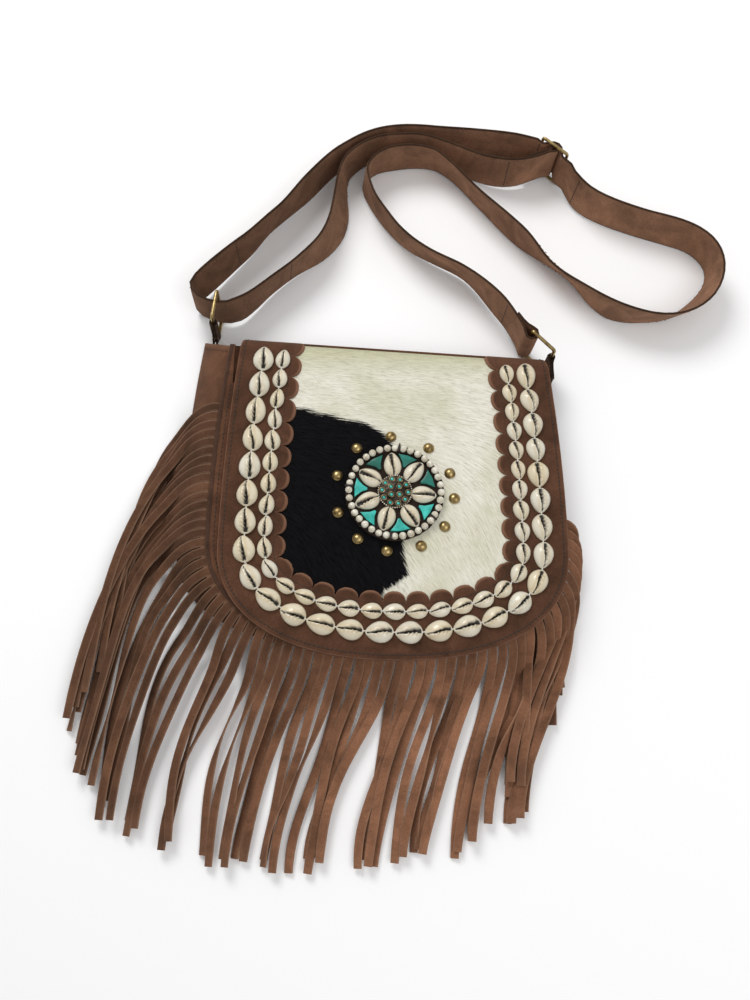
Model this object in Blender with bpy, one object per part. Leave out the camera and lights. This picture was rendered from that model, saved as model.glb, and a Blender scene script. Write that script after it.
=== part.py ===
"""A fringed suede shoulder bag with a shell-trimmed flap, lying on its back.

Metres, +Z up. The origin is on the rear face of the back panel, under the
flap's centre line. +X is to the right as the flap is looked at, +Y runs up the
flap to its fold and on to the strap, and +Z comes out of the flap.
"""

import math
import random

import bmesh
import bpy
from mathutils import Vector

# Leather and clearances
SUEDE = 0.0018
GAP = 0.0003
LINING = 0.0015
HIDE = 0.0008
BORDER_LEATHER = 0.0018

# Pouch: the front leans to the right of the back, as the bag lies
POUCH_WIDEST = 0.1405
POUCH_MID_Y = -0.050
BACK_CENTRE_X = -0.0395
BACK_TOP_Y = 0.136
BACK_TOP_HALF = 0.129
BACK_FOOT_Y = -0.134
BACK_PANEL_TOP = 0.108
FRONT_CENTRE_X = -0.0095
FRONT_TOP_Y = 0.119
FRONT_TOP_HALF = 0.1307
FRONT_FOOT_Y = -0.136
FRONT_TOP_FACE = 0.0360
MOUTH_Y = 0.083
EAR_INNER_X = -0.1374
GUSSET_BULGE = 0.004
RIGHT_GUSSET_END = 0.079
FOOT_POWER = 2.3

# Flap
FLAP_WIDEST = 0.1410
FLAP_TOP_HALF = 0.1306
FLAP_MID_Y = -0.057
FLAP_FOOT_Y = -0.148
FLAP_CROWN = 0.0012
AXIS_Y = 0.1038
FOLD_SKEW = -0.041
SKEW_START_Y = -0.030
CURL_RADIUS = 0.0140
FLAP_ROLL = 0.0145
AXIS_Z = FRONT_TOP_FACE + 0.0005 - FLAP_ROLL
FLAP_WRAP = math.radians(66.0)
CURL_END = math.radians(28.0)
CURL_HALF = 0.1285
RAMP_START_Y = 0.060
BACK_LINING = 0.0016
LINING_FOOT_Y = -0.118
LINING_INSET = 0.006

# Scalloped border
BORDER_WIDTH = 0.0475
SCALLOPS = 33
SCALLOP_DEPTH = 0.0062
HIDE_OVERLAP = 0.008

# Cowrie rows
OUTER_SHELLS = 28
OUTER_SHELL_WIDTH = 0.0172
OUTER_SHELL_INSET = 0.0212
INNER_SHELLS = 33
INNER_SHELL_WIDTH = 0.0128
INNER_SHELL_INSET = 0.0375
SHELL_RISE = 0.0062
ROW_WRAP = math.radians(30.0)
THREAD = 0.0011

# Medallion
MEDALLION_Y = -0.0128
BACKING_RADIUS = 0.0405
BACKING_LEATHER = 0.0015
BEADS = 36
BEAD_CIRCLE = 0.0374
BEAD_RADIUS = 0.0029
# Clockwise from the top, in degrees
PETAL_ANGLES = (-5, 42, 94, 147, 197, 250, 301)
PETAL_INNER = 0.0150
PETAL_OUTER = 0.0338
PETAL_WIDTH = 0.0142
CHIP_THICKNESS = 0.0016
BOSS_RADIUS = 0.0142
BOSS_RISE = 0.0068
STUD_ANGLES = (-4, 35, 68, 94, 124, 154, 187, 217, 249, 286, 320)
STUD_CIRCLE = 0.0490
STUD_RADIUS = 0.0046
STUD_RISE = 0.0030

# Fringe
STRAND_PITCH = 0.0077
SLIT = 0.0006
FRINGE_LEATHER = 0.0013
FRINGE_TOP_Y = 0.065
HEADER_SEWN = 0.008
HEADER_PROUD = 0.006
STRAND_STATIONS = 4
STRAND_FALL = 0.046
STRAND_REST = 0.0026
STRAND_LAYER = 0.0027
# How far each strand's end lies from its root: share of the header, right, up
FRINGE_DRIFT = (
    (0.00, -0.080, -0.208),
    (0.05, -0.086, -0.208),
    (0.11, -0.094, -0.200),
    (0.20, -0.074, -0.192),
    (0.30, -0.060, -0.172),
    (0.40, -0.042, -0.166),
    (0.52, -0.040, -0.160),
    (0.62, -0.036, -0.162),
    (0.72, -0.036, -0.166),
    (0.80, -0.036, -0.192),
    (0.87, -0.028, -0.220),
    (0.92, -0.019, -0.224),
    (0.96, 0.002, -0.226),
    (1.00, 0.012, -0.222),
)

# Strap and its fittings
STRAP_WIDTH = 0.038
STRAP_LEATHER = 0.0026
STRAP_FLOOR = 0.0006
STRAP_LIFTED = 0.0040
WIRE_RADIUS = 0.0016
RING_INSIDE = 0.0390
RING_FLOOR = 0.0003
RING_PITCH = 0.0258
LEFT_RING_NEAR = (-0.1575, 0.1395)
LEFT_RING_FAR = (-0.1550, 0.1652)
RIGHT_RING_NEAR = (0.1372, 0.1180)
RIGHT_RING_FAR = (0.1190, 0.1363)
TAB_LEATHER = 0.0018
TAB_FOLD = 0.0023
TAB_LOW = 0.0065
TAB_HIGH = 0.0335
BIGHT_SLACK = 0.0027
SLIDER_CENTRE = (0.1485, 0.3285)
SLIDER_TURN = math.radians(140.5)
SLIDER_BAR_PITCH = 0.0140
SLIDER_WIRE = 0.0015
# The strap's route at mid height: x, y, and how far its top edge leans left
STRAP_RIGHT_RUN = (
    (0.1035, 0.1590, 0.000),
    (0.0930, 0.1740, 0.000),
    (0.0640, 0.2050, 0.009),
    (0.0340, 0.2220, 0.010),
    (0.0185, 0.2320, 0.008),
    (0.0050, 0.2440, 0.006),
    (-0.0070, 0.2590, 0.004),
    (-0.0175, 0.2750, 0.003),
    (-0.0245, 0.2910, 0.000),
    (-0.0275, 0.3040, -0.003),
    (-0.0235, 0.3140, -0.004),
    (-0.0150, 0.3220, -0.003),
    (0.0000, 0.3275, -0.001),
    (0.0220, 0.3300, -0.003),
    (0.0390, 0.3270, -0.006),
    (0.0520, 0.3172, -0.008),
    (0.0795, 0.2865, -0.008),
    (0.1080, 0.2560, -0.004),
    (0.1210, 0.2430, -0.005),
    (0.1455, 0.2195, -0.017),
    (0.1590, 0.2080, -0.018),
    (0.1840, 0.1830, -0.007),
    (0.1985, 0.1735, -0.004),
    (0.2150, 0.1685, -0.006),
    (0.2320, 0.1670, -0.010),
    (0.2475, 0.1680, -0.012),
    (0.2610, 0.1720, -0.013),
    (0.2730, 0.1790, -0.014),
    (0.2840, 0.1890, -0.013),
    (0.2925, 0.2010, -0.009),
    (0.2975, 0.2150, -0.004),
    (0.2970, 0.2290, -0.001),
    (0.2905, 0.2410, -0.001),
    (0.2795, 0.2500, -0.002),
    (0.2640, 0.2565, -0.004),
    (0.2280, 0.2670, -0.003),
    (0.1940, 0.2800, -0.003),
    (0.1800, 0.2880, -0.003),
    (0.1715, 0.2965, -0.002),
    (0.1665, 0.3040, 0.000),
)
STRAP_OUTER_RUN = (
    (0.1270, 0.3395, 0.000),
    (0.1130, 0.3430, 0.000),
    (0.0770, 0.3468, 0.000),
    (0.0400, 0.3490, 0.000),
    (0.0230, 0.3505, 0.000),
    (0.0040, 0.3500, 0.000),
    (-0.0150, 0.3460, 0.000),
    (-0.0300, 0.3395, 0.000),
    (-0.0445, 0.3300, 0.000),
    (-0.0580, 0.3185, -0.001),
    (-0.0810, 0.2910, -0.002),
    (-0.1045, 0.2625, 0.004),
    (-0.1155, 0.2505, 0.004),
    (-0.1310, 0.2300, 0.000),
    (-0.1465, 0.2130, -0.003),
    (-0.1650, 0.1920, -0.005),
    (-0.1735, 0.1815, -0.004),
)
STRAP_BIGHT = (
    (-0.1777, 0.1745, -0.002),
    (-0.1770, 0.1680, 0.000),
    (-0.1715, 0.1625, 0.000),
    (-0.1635, 0.1585, 0.000),
    (-0.1550, 0.1565, 0.000),
    (-0.1460, 0.1567, 0.001),
)
STRAP_INNER_RUN = (
    (-0.1380, 0.1600, 0.002),
    (-0.1290, 0.1668, 0.000),
    (-0.1095, 0.1870, -0.004),
    (-0.0890, 0.2065, -0.004),
    (-0.0675, 0.2265, 0.004),
    (-0.0590, 0.2390, 0.009),
    (-0.0530, 0.2535, 0.013),
    (-0.0500, 0.2690, 0.014),
    (-0.0485, 0.3000, 0.007),
    (-0.0455, 0.3130, 0.003),
    (-0.0375, 0.3235, 0.001),
    (-0.0270, 0.3320, 0.000),
    (-0.0155, 0.3372, 0.000),
    (0.0120, 0.3412, 0.000),
    (0.0260, 0.3408, 0.000),
    (0.0515, 0.3325, 0.000),
    (0.0770, 0.3210, 0.002),
    (0.0920, 0.3160, 0.003),
    (0.1060, 0.3140, 0.003),
    (0.1190, 0.3150, 0.002),
)


def clear_scene():
    for thing in list(bpy.data.objects):
        bpy.data.objects.remove(thing, do_unlink=True)


def material(name, colour, roughness, metallic=0.0):
    made = bpy.data.materials.new(name)
    made.use_nodes = True
    shader = made.node_tree.nodes["Principled BSDF"]
    shader.inputs["Base Color"].default_value = (*colour, 1.0)
    shader.inputs["Roughness"].default_value = roughness
    shader.inputs["Metallic"].default_value = metallic
    return made


def add_piece(name, bm, finish, smooth_below=math.radians(35.0)):
    """Turns a finished bmesh into a named object."""
    bmesh.ops.recalc_face_normals(bm, faces=bm.faces)
    mesh = bpy.data.meshes.new(name)
    bm.to_mesh(mesh)
    bm.free()
    mesh.materials.append(finish)
    mesh.shade_smooth()
    mesh.set_sharp_from_angle(angle=smooth_below)
    piece = bpy.data.objects.new(name, mesh)
    bpy.context.scene.collection.objects.link(piece)
    return piece


def loft(sections, ring=False):
    """One closed body through a row of closed sections with the same number of points."""
    bm = bmesh.new()
    rows = [[bm.verts.new(point) for point in section] for section in sections]
    pairs = list(zip(rows, rows[1:]))
    if ring:
        pairs.append((rows[-1], rows[0]))
    for here, there in pairs:
        for k in range(len(here)):
            after = (k + 1) % len(here)
            bm.faces.new((here[k], here[after], there[after], there[k]))
    if not ring:
        bm.faces.new(rows[0])
        bm.faces.new(rows[-1])
    return bm


def slab(outline, low, high):
    """A flat panel cut to an outline of (x, y) points."""
    bm = bmesh.new()
    face = bm.faces.new([bm.verts.new((x, y, low)) for x, y in outline])
    grown = bmesh.ops.extrude_face_region(bm, geom=[face])
    risen = [v for v in grown["geom"] if isinstance(v, bmesh.types.BMVert)]
    bmesh.ops.translate(bm, verts=risen, vec=(0.0, 0.0, high - low))
    return bm


def smooth(t):
    t = min(1.0, max(0.0, t))
    return t * t * (3.0 - 2.0 * t)


class Outline:
    """The U of a bag panel: sides that spread a little from the top, and one rounded foot."""

    def __init__(self, centre_x, widest, top_half, top_y, mid_y, foot_y):
        self.centre_x = centre_x
        self.widest = widest
        self.top_half = top_half
        self.top_y = top_y
        self.mid_y = mid_y
        self.foot_y = foot_y

    def half_width(self, y):
        if y >= self.mid_y:
            risen = (y - self.mid_y) / (self.top_y - self.mid_y)
            return self.widest - (self.widest - self.top_half) * risen**2
        fallen = min(1.0, (self.mid_y - y) / (self.mid_y - self.foot_y))
        return self.widest * (1.0 - fallen**FOOT_POWER) ** (1.0 / FOOT_POWER)

    def dense(self, left_y, right_y):
        """Close points from the left side at left_y, round the foot, to the right side at right_y."""
        side, foot = 24, 72
        points = []
        for k in range(side):
            y = left_y + (self.mid_y - left_y) * k / side
            points.append(Vector((self.centre_x - self.half_width(y), y)))
        for k in range(foot + 1):
            turn = math.pi * k / foot
            across = -math.copysign(abs(math.cos(turn)) ** (2.0 / FOOT_POWER), math.cos(turn))
            down = math.sin(turn) ** (2.0 / FOOT_POWER)
            x = self.centre_x + self.widest * across
            points.append(Vector((x, self.mid_y - (self.mid_y - self.foot_y) * down)))
        for k in range(1, side + 1):
            y = self.mid_y + (right_y - self.mid_y) * k / side
            points.append(Vector((self.centre_x + self.half_width(y), y)))
        return points

    def walk(self, shares, left_y, right_y):
        """(point, outward) at each share of the way along the U."""
        points = self.dense(left_y, right_y)
        reach = [0.0]
        for before, after in zip(points, points[1:]):
            reach.append(reach[-1] + (after - before).length)
        found = []
        k = 0
        for share in shares:
            goal = share * reach[-1]
            while k < len(reach) - 2 and reach[k + 1] < goal:
                k += 1
            part = (goal - reach[k]) / (reach[k + 1] - reach[k])
            point = points[k].lerp(points[k + 1], part)
            ahead = points[min(k + 2, len(points) - 1)] - points[max(k - 1, 0)]
            found.append((point, Vector((ahead.y, -ahead.x)).normalized()))
        return found

    def length(self, left_y, right_y):
        points = self.dense(left_y, right_y)
        return sum((after - before).length for before, after in zip(points, points[1:]))


BACK = Outline(BACK_CENTRE_X, POUCH_WIDEST, BACK_TOP_HALF, BACK_TOP_Y, POUCH_MID_Y, BACK_FOOT_Y)
FRONT = Outline(FRONT_CENTRE_X, POUCH_WIDEST, FRONT_TOP_HALF, FRONT_TOP_Y, POUCH_MID_Y, FRONT_FOOT_Y)
FLAP_END_Y = AXIS_Y + FLAP_WRAP * (FLAP_ROLL + LINING)
FLAP = Outline(0.0, FLAP_WIDEST, FLAP_TOP_HALF, FLAP_END_Y, FLAP_MID_Y, FLAP_FOOT_Y)

HEADER_TOP = FRONT_TOP_FACE - SUEDE - GAP
GUSSET_TOP = HEADER_TOP - FRINGE_LEATHER - GAP
GUSSET_FLOOR = SUEDE + GAP
HIDE_LIFT = LINING + GAP
BORDER_TOP = HIDE_LIFT + HIDE + GAP + BORDER_LEATHER


def even(count):
    return [k / (count - 1) for k in range(count)]


def back_panel(suede):
    walked = BACK.walk(even(30), BACK_PANEL_TOP, BACK_PANEL_TOP)
    return add_piece("back_panel", slab([p for p, _ in walked], 0.0, SUEDE), suede)


def front_panel(suede):
    walked = FRONT.walk(even(32), FRONT_TOP_Y, MOUTH_Y)
    points = [p for p, _ in walked]
    points.append(Vector((EAR_INNER_X, MOUTH_Y)))
    points.append(Vector((EAR_INNER_X, FRONT_TOP_Y)))
    return add_piece("front_panel", slab(points, FRONT_TOP_FACE - SUEDE, FRONT_TOP_FACE), suede)


def gusset(suede):
    """The side and bottom wall: one strip from the back panel's edge up to the front seam."""
    shares = even(26)
    low = BACK.walk(shares, BACK_TOP_Y, RIGHT_GUSSET_END)
    high = FRONT.walk(shares, FRONT_TOP_Y, RIGHT_GUSSET_END)
    sections = []
    for (back, out_low), (front, out_high) in zip(low, high):
        out = (out_low + out_high).normalized()
        middle = (back + front) / 2.0 + out * GUSSET_BULGE
        half_z = (GUSSET_FLOOR + GUSSET_TOP) / 2.0
        outer = [(back, GUSSET_FLOOR), (middle, half_z), (front, GUSSET_TOP)]
        inner = [(p - out * SUEDE, z) for p, z in reversed(outer)]
        sections.append([(p.x, p.y, z) for p, z in outer + inner])
    return add_piece("gusset", loft(sections), suede)


def back_lining(cloth):
    """The pouch's inner back wall, which leaves the back panel near the top and curls under the flap."""
    sections = []
    for k in range(6):
        y = LINING_FOOT_Y + (RAMP_START_Y - LINING_FOOT_Y) * (k / 6) ** 1.4
        half = BACK.half_width(y) - LINING_INSET
        sections.append(strip_section(BACK_CENTRE_X - half, BACK_CENTRE_X + half, y, SUEDE + GAP, Vector((0.0, 1.0))))
    for k in range(9):
        t = k / 8
        y = RAMP_START_Y + (AXIS_Y - RAMP_START_Y) * t
        rise = (AXIS_Z - CURL_RADIUS - SUEDE - GAP) * smooth(t)
        half = BACK.half_width(y) - LINING_INSET
        left = BACK_CENTRE_X - half + (half - BACK_CENTRE_X - CURL_HALF) * smooth(t)
        spread = smooth((y - RIGHT_GUSSET_END - 0.001) / (AXIS_Y - RIGHT_GUSSET_END - 0.001))
        right = BACK_CENTRE_X + half + (CURL_HALF - BACK_CENTRE_X - half) * spread
        sections.append(strip_section(left, right, y, SUEDE + GAP + rise, Vector((0.0, 1.0)), t))
    for k in range(1, 9):
        turn = -math.pi / 2 + (CURL_END + math.pi / 2) * k / 8
        y = AXIS_Y + CURL_RADIUS * math.cos(turn)
        z = AXIS_Z + CURL_RADIUS * math.sin(turn)
        inward = Vector((-math.cos(turn), -math.sin(turn)))
        sections.append(strip_section(-CURL_HALF, CURL_HALF, y, z, inward, 1.0))
    return add_piece("back_lining", loft(sections), cloth)


def strip_section(left, right, y, z, inward, skewed=0.0):
    """One cut across the lining, which turns with the skewed fold as it nears it."""
    deep = inward * BACK_LINING
    y_left = y + FOLD_SKEW * left * skewed
    y_right = y + FOLD_SKEW * right * skewed
    return [(left, y_left, z), (right, y_right, z), (right, y_right + deep.x, z + deep.y), (left, y_left + deep.x, z + deep.y)]


def on_flap(x, y, lift):
    """Where a point of the flat flap pattern lies: over the pouch, or wrapped back round the skewed fold."""
    past = y - AXIS_Y
    if past <= 0.0:
        along = (AXIS_Y - y) / (AXIS_Y - FLAP_FOOT_Y)
        crown = FLAP_CROWN * (1.0 - (x / FLAP_WIDEST) ** 2) * 4.0 * along * (1.0 - along)
        pulled = FOLD_SKEW * x * smooth((y - SKEW_START_Y) / (AXIS_Y - SKEW_START_Y))
        return Vector((x, y + pulled, AXIS_Z + FLAP_ROLL + lift + max(0.0, crown)))
    turn = past / (FLAP_ROLL + LINING)
    radius = FLAP_ROLL + lift
    return Vector((x, AXIS_Y + FOLD_SKEW * x + radius * math.sin(turn), AXIS_Z + radius * math.cos(turn)))


def flap_rows(foot_inset, count):
    """Heights of a flap layer's rows, closer together round the foot and over the fold."""
    foot = FLAP_FOOT_Y + foot_inset
    rows = [FLAP_END_Y + (AXIS_Y - FLAP_END_Y) * k / 6 for k in range(7)]
    for k in range(1, count + 1):
        rows.append(AXIS_Y + (foot - AXIS_Y) * math.sin(math.pi / 2 * k / count) ** 1.15)
    return rows


def flap_layer(name, inset, low, high, count, finish):
    """A sheet that follows the flap: columns straight down it, rows across."""
    sections = []
    rows = flap_rows(inset, count)
    rows[-1] += 0.0015
    for y in rows:
        half = FLAP.half_width(FLAP_MID_Y + (y - FLAP_MID_Y) * (FLAP_FOOT_Y - FLAP_MID_Y)
                               / (FLAP_FOOT_Y + inset - FLAP_MID_Y)) if y < FLAP_MID_Y else FLAP.half_width(y)
        half -= inset
        columns = [half * u for u in (-1.0, -0.55, 0.0, 0.55, 1.0)]
        under = [on_flap(x, y, low) for x in columns]
        over = [on_flap(x, y, high) for x in reversed(columns)]
        sections.append(under + over)
    return add_piece(name, loft(sections), finish)


def flap_border(suede):
    """The suede frame sewn round the flap, with its inner edge cut in scallops over the hide."""
    shares = even(SCALLOPS * 3 + 1)
    fold = [(before + after) / 2.0 for before, after in zip(shares, shares[1:]) if not 0.03 < before < 0.97]
    shares = sorted(shares + fold)
    sections = []
    for share, (point, out) in zip(shares, FLAP.walk(shares, FLAP_END_Y, FLAP_END_Y)):
        bump = abs(math.sin(math.pi * share * SCALLOPS)) ** 0.7
        # The cuts turn level before the fold, so that each lies along it.
        out = out.lerp(Vector((math.copysign(1.0, point.x), 0.0)), smooth((point.y - 0.02) / 0.06))
        inner = point - out * (BORDER_WIDTH + SCALLOP_DEPTH * bump)
        sections.append([
            on_flap(point.x, point.y, HIDE_LIFT + 0.75 * HIDE),
            on_flap(point.x, point.y, BORDER_TOP),
            on_flap(inner.x, inner.y, BORDER_TOP),
            on_flap(inner.x, inner.y, BORDER_TOP - BORDER_LEATHER),
        ])
    return add_piece("flap_border", loft(sections), suede)


def shell_section(centre, side, up, width, rise):
    """One cut across a cowrie: flat underneath, domed, with the toothed slit sunk along its top."""
    half = width / 2.0
    points = []
    for across, height in ((-0.86, 0.0), (-0.92, 0.5), (-0.30, 1.0), (0.04, 0.52), (0.38, 0.98), (0.96, 0.3)):
        points.append(centre + side * (half * across) + up * (rise * height))
    return points


# Cuts along one cowrie: share of its length, then its width and height there (None at the thread)
OUTER_CUTS = ((0.0, None, None), (0.20, 0.74, 0.80), (0.48, 1.0, 1.0), (0.78, 0.80, 0.78))
INNER_CUTS = ((0.0, None, None), (0.32, 0.96, 1.0), (0.72, 0.88, 0.86))


def shell_row(name, count, width, inset, cuts, finish):
    """Cowries strung tip to tip on a thread, as one body."""
    lift = BORDER_TOP + GAP
    top_y = AXIS_Y + ROW_WRAP * (FLAP_ROLL + LINING)
    shares = []
    for k in range(count):
        shares += [(k + cut[0]) / count for cut in cuts]
    shares.append(1.0)
    walked = FLAP.walk(shares, top_y, top_y)
    spine = [point - out * inset for point, out in walked]
    sections = []
    for k, (point, out) in enumerate(walked):
        flat = spine[k]
        centre = on_flap(flat.x, flat.y, lift)
        up = (on_flap(flat.x, flat.y, lift + 0.001) - centre).normalized()
        beyond = flat - out * 0.001
        side = (on_flap(beyond.x, beyond.y, lift) - centre).normalized()
        _, wide, tall = cuts[k % len(cuts)]
        if wide is None:
            sections.append(shell_section(centre, side, up, THREAD * 2.0, THREAD))
        else:
            rise = SHELL_RISE * width / OUTER_SHELL_WIDTH
            sections.append(shell_section(centre, side, up, width * wide, rise * tall))
    return add_piece(name, loft(sections), finish)


def medallion_spot(radius, clockwise_deg, lift):
    turn = math.radians(clockwise_deg)
    x = radius * math.sin(turn)
    y = MEDALLION_Y + radius * math.cos(turn)
    return on_flap(x, y, lift)


def disc(radius, low, high, sides, x, y):
    points = []
    for k in range(sides):
        turn = 2.0 * math.pi * k / sides
        points.append((x + radius * math.cos(turn), y + radius * math.sin(turn)))
    return slab(points, low, high)


def medallion_backing(leather):
    floor = on_flap(0.0, MEDALLION_Y, HIDE_LIFT + HIDE).z + GAP
    return add_piece("medallion_backing", disc(BACKING_RADIUS, floor, floor + BACKING_LEATHER, 24, 0.0, MEDALLION_Y), leather)


MEDALLION_FLOOR = on_flap(0.0, MEDALLION_Y, HIDE_LIFT + HIDE).z + GAP + BACKING_LEATHER + GAP


def bead_ring(pearl):
    """Pearl beads strung in a ring round the medallion, waisted down to their thread."""
    sections = []
    for k in range(BEADS * 2):
        turn = 2.0 * math.pi * k / (BEADS * 2)
        radius = BEAD_RADIUS if k % 2 else THREAD * 0.8
        spoke = Vector((math.cos(turn), math.sin(turn), 0.0))
        centre = Vector((0.0, MEDALLION_Y, MEDALLION_FLOOR + BEAD_RADIUS)) + spoke * BEAD_CIRCLE
        section = []
        for corner in range(5):
            tilt = 2.0 * math.pi * corner / 5.0 + math.pi / 2.0
            section.append(centre + spoke * (radius * math.cos(tilt)) + Vector((0.0, 0.0, radius * math.sin(tilt))))
        sections.append(section)
    return add_piece("bead_ring", loft(sections, ring=True), pearl)


def petal(index, finish):
    """One cowrie of the medallion, its slit pointing to the centre."""
    turn = math.radians(PETAL_ANGLES[index])
    spoke = Vector((math.sin(turn), math.cos(turn), 0.0))
    side = Vector((spoke.y, -spoke.x, 0.0))
    up = Vector((0.0, 0.0, 1.0))
    origin = Vector((0.0, MEDALLION_Y, MEDALLION_FLOOR))
    sections = []
    for share, wide, tall in ((0.0, 0.30, 0.45), (0.2, 0.78, 0.85), (0.5, 1.0, 1.0), (0.8, 0.76, 0.8), (1.0, 0.26, 0.4)):
        centre = origin + spoke * (PETAL_INNER + (PETAL_OUTER - PETAL_INNER) * share)
        sections.append(shell_section(centre, side, up, PETAL_WIDTH * wide, 0.0046 * tall))
    return add_piece(f"petal_shell_{index + 1}", loft(sections), finish)


def chip(index, finish):
    """A turquoise chip that fills the space between two petals, inside the beads."""
    before = PETAL_ANGLES[index]
    after = PETAL_ANGLES[(index + 1) % len(PETAL_ANGLES)]
    a = math.radians(before + ((after - before) % 360) / 2.0)
    outline = ((0.0226, 0.0008), (0.0265, 0.0022), (0.0300, 0.0052), (0.0318, 0.0074))
    points = [(radius, half) for radius, half in outline] + [(0.0332, 0.0)]
    points += [(radius, -half) for radius, half in reversed(outline)]
    spoke, side = Vector((math.sin(a), math.cos(a))), Vector((math.cos(a), -math.sin(a)))
    flat = [Vector((0.0, MEDALLION_Y)) + spoke * radius + side * half for radius, half in points]
    return add_piece(f"turquoise_chip_{index + 1}", slab(flat, MEDALLION_FLOOR, MEDALLION_FLOOR + CHIP_THICKNESS), finish)


def dome(radius, rise, sides, levels):
    """A turned cap on a flat base, from (radius, height) levels."""
    rings = []
    for share, height in levels:
        rings.append([
            (radius * share * math.cos(2.0 * math.pi * k / sides),
             radius * share * math.sin(2.0 * math.pi * k / sides),
             rise * height)
            for k in range(sides)
        ])
    return loft(rings)


def medallion_boss(brass):
    """The stamped rosette at the centre: a rope rim and a raised middle."""
    levels = ((0.92, 0.0), (1.0, 0.16), (0.94, 0.42), (0.84, 0.40), (0.66, 0.72), (0.40, 0.92), (0.14, 1.0))
    bm = dome(BOSS_RADIUS, BOSS_RISE, 12, levels)
    bmesh.ops.translate(bm, verts=bm.verts, vec=(0.0, MEDALLION_Y, MEDALLION_FLOOR))
    return add_piece("medallion_boss", bm, brass)


def stud(index, angle, brass):
    """A domed brass stud whose prongs grip the hide."""
    bm = dome(STUD_RADIUS, STUD_RISE, 8, ((1.0, 0.0), (0.62, 0.86)))
    seat = medallion_spot(STUD_CIRCLE, angle, HIDE_LIFT + HIDE + GAP)
    bmesh.ops.translate(bm, verts=bm.verts, vec=seat)
    return add_piece(f"stud_{index + 1:02d}", bm, brass)


def drift_at(share):
    for before, after in zip(FRINGE_DRIFT, FRINGE_DRIFT[1:]):
        if share <= after[0]:
            part = (share - before[0]) / (after[0] - before[0])
            return Vector((before[1] + (after[1] - before[1]) * part, before[2] + (after[2] - before[2]) * part))
    return Vector(FRINGE_DRIFT[-1][1:])


def strand_spine(root, out, drift, right_side):
    """The route of a strand in plan: out from the seam, then round and down to its end."""
    leave = 0.014 if right_side else 0.030 + 0.020 * abs(out.x)
    first = root + out * leave
    second = root + drift * 0.62 + Vector((drift.x * 0.30, 0.0))
    end = root + drift

    def at(t):
        s = 1.0 - t
        return root * s**3 + first * (3 * s * s * t) + second * (3 * s * t * t) + end * t**3

    return at


def fringe(suede):
    """A sewn-in header cut into strands, which fall over the gusset and lie on the table."""
    length = FRONT.length(FRINGE_TOP_Y, FRINGE_TOP_Y)
    strands = int(length / STRAND_PITCH)
    pitch = 1.0 / strands
    edge = SLIT / length / 2.0
    shares = []
    for k in range(strands):
        shares += [k * pitch + edge, (k + 1) * pitch - edge]
    low = HEADER_TOP - FRINGE_LEATHER
    bm = bmesh.new()
    rows = []
    walked = FRONT.walk(shares, FRINGE_TOP_Y, FRINGE_TOP_Y)
    for point, out in walked:
        inner = point - out * HEADER_SEWN
        outer = point + out * HEADER_PROUD
        corners = ((inner, HEADER_TOP), (inner, low), (outer, low), (outer, HEADER_TOP))
        rows.append([bm.verts.new((p.x, p.y, z)) for p, z in corners])
    outer_faces = []
    for k, (here, there) in enumerate(zip(rows, rows[1:])):
        for side in range(4):
            after = (side + 1) % 4
            face = bm.faces.new((here[side], there[side], there[after], here[after]))
            if side == 2 and k % 2 == 0:
                outer_faces.append((k // 2, face))
    bm.faces.new(rows[0])
    bm.faces.new(list(reversed(rows[-1])))
    draw = random.Random(11)
    for index, face in outer_faces:
        grow_strand(bm, face, index, strands, walked, draw)
    return add_piece("fringe", bm, suede)


def grow_strand(bm, face, index, strands, walked, draw):
    """Extrudes one cut of the header's outer edge along its strand."""
    share = (index + 0.5) / strands
    (before, out), (after, _) = walked[2 * index], walked[2 * index + 1]
    root = (before + after) / 2.0 + out * HEADER_PROUD
    drift = drift_at(share) * draw.uniform(0.965, 1.03)
    drift.x += draw.uniform(-0.005, 0.005)
    route = strand_spine(root, out, drift, share > 0.84)
    twist = math.radians(draw.uniform(14.0, 34.0))
    half = (STRAND_PITCH - SLIT) / 2.0
    rest = STRAND_REST + STRAND_LAYER * (index % 3)
    root_z = HEADER_TOP - FRINGE_LEATHER / 2.0
    corners = list(face.verts)
    lengths = [corner.co.xy.copy() for corner in corners]
    travelled = 0.0
    last = root
    for station in range(1, STRAND_STATIONS + 1):
        t = (station / STRAND_STATIONS) ** 1.15
        spot = route(t)
        travelled += (spot - last).length
        last = spot
        ahead = (route(min(1.0, t + 0.02)) - route(t - 0.02)).normalized()
        across = Vector((-ahead.y, ahead.x, 0.0))
        settle = smooth(travelled / STRAND_FALL)
        z = root_z * (1.0 - settle) + rest * settle
        turn = twist * smooth(travelled / 0.05)
        wide = across * math.cos(turn) + Vector((0.0, 0.0, math.sin(turn)))
        thick = Vector((0.0, 0.0, math.cos(turn))) - across * math.sin(turn)
        made = bmesh.ops.extrude_discrete_faces(bm, faces=[face])
        face = made["faces"][0]
        centre = Vector((spot.x, spot.y, z))
        for vert, was in zip(face.verts, lengths):
            right_of = 1.0 if (was - root).dot(Vector((-out.y, out.x))) > 0.0 else -1.0
            above = 1.0 if corners[list(face.verts).index(vert)].co.z > root_z else -1.0
            vert.co = centre + wide * (half * right_of) + thick * (FRINGE_LEATHER / 2.0 * above)
        corners_now = list(face.verts)
        corners = [corners[k] for k in range(len(corners_now))]


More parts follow.
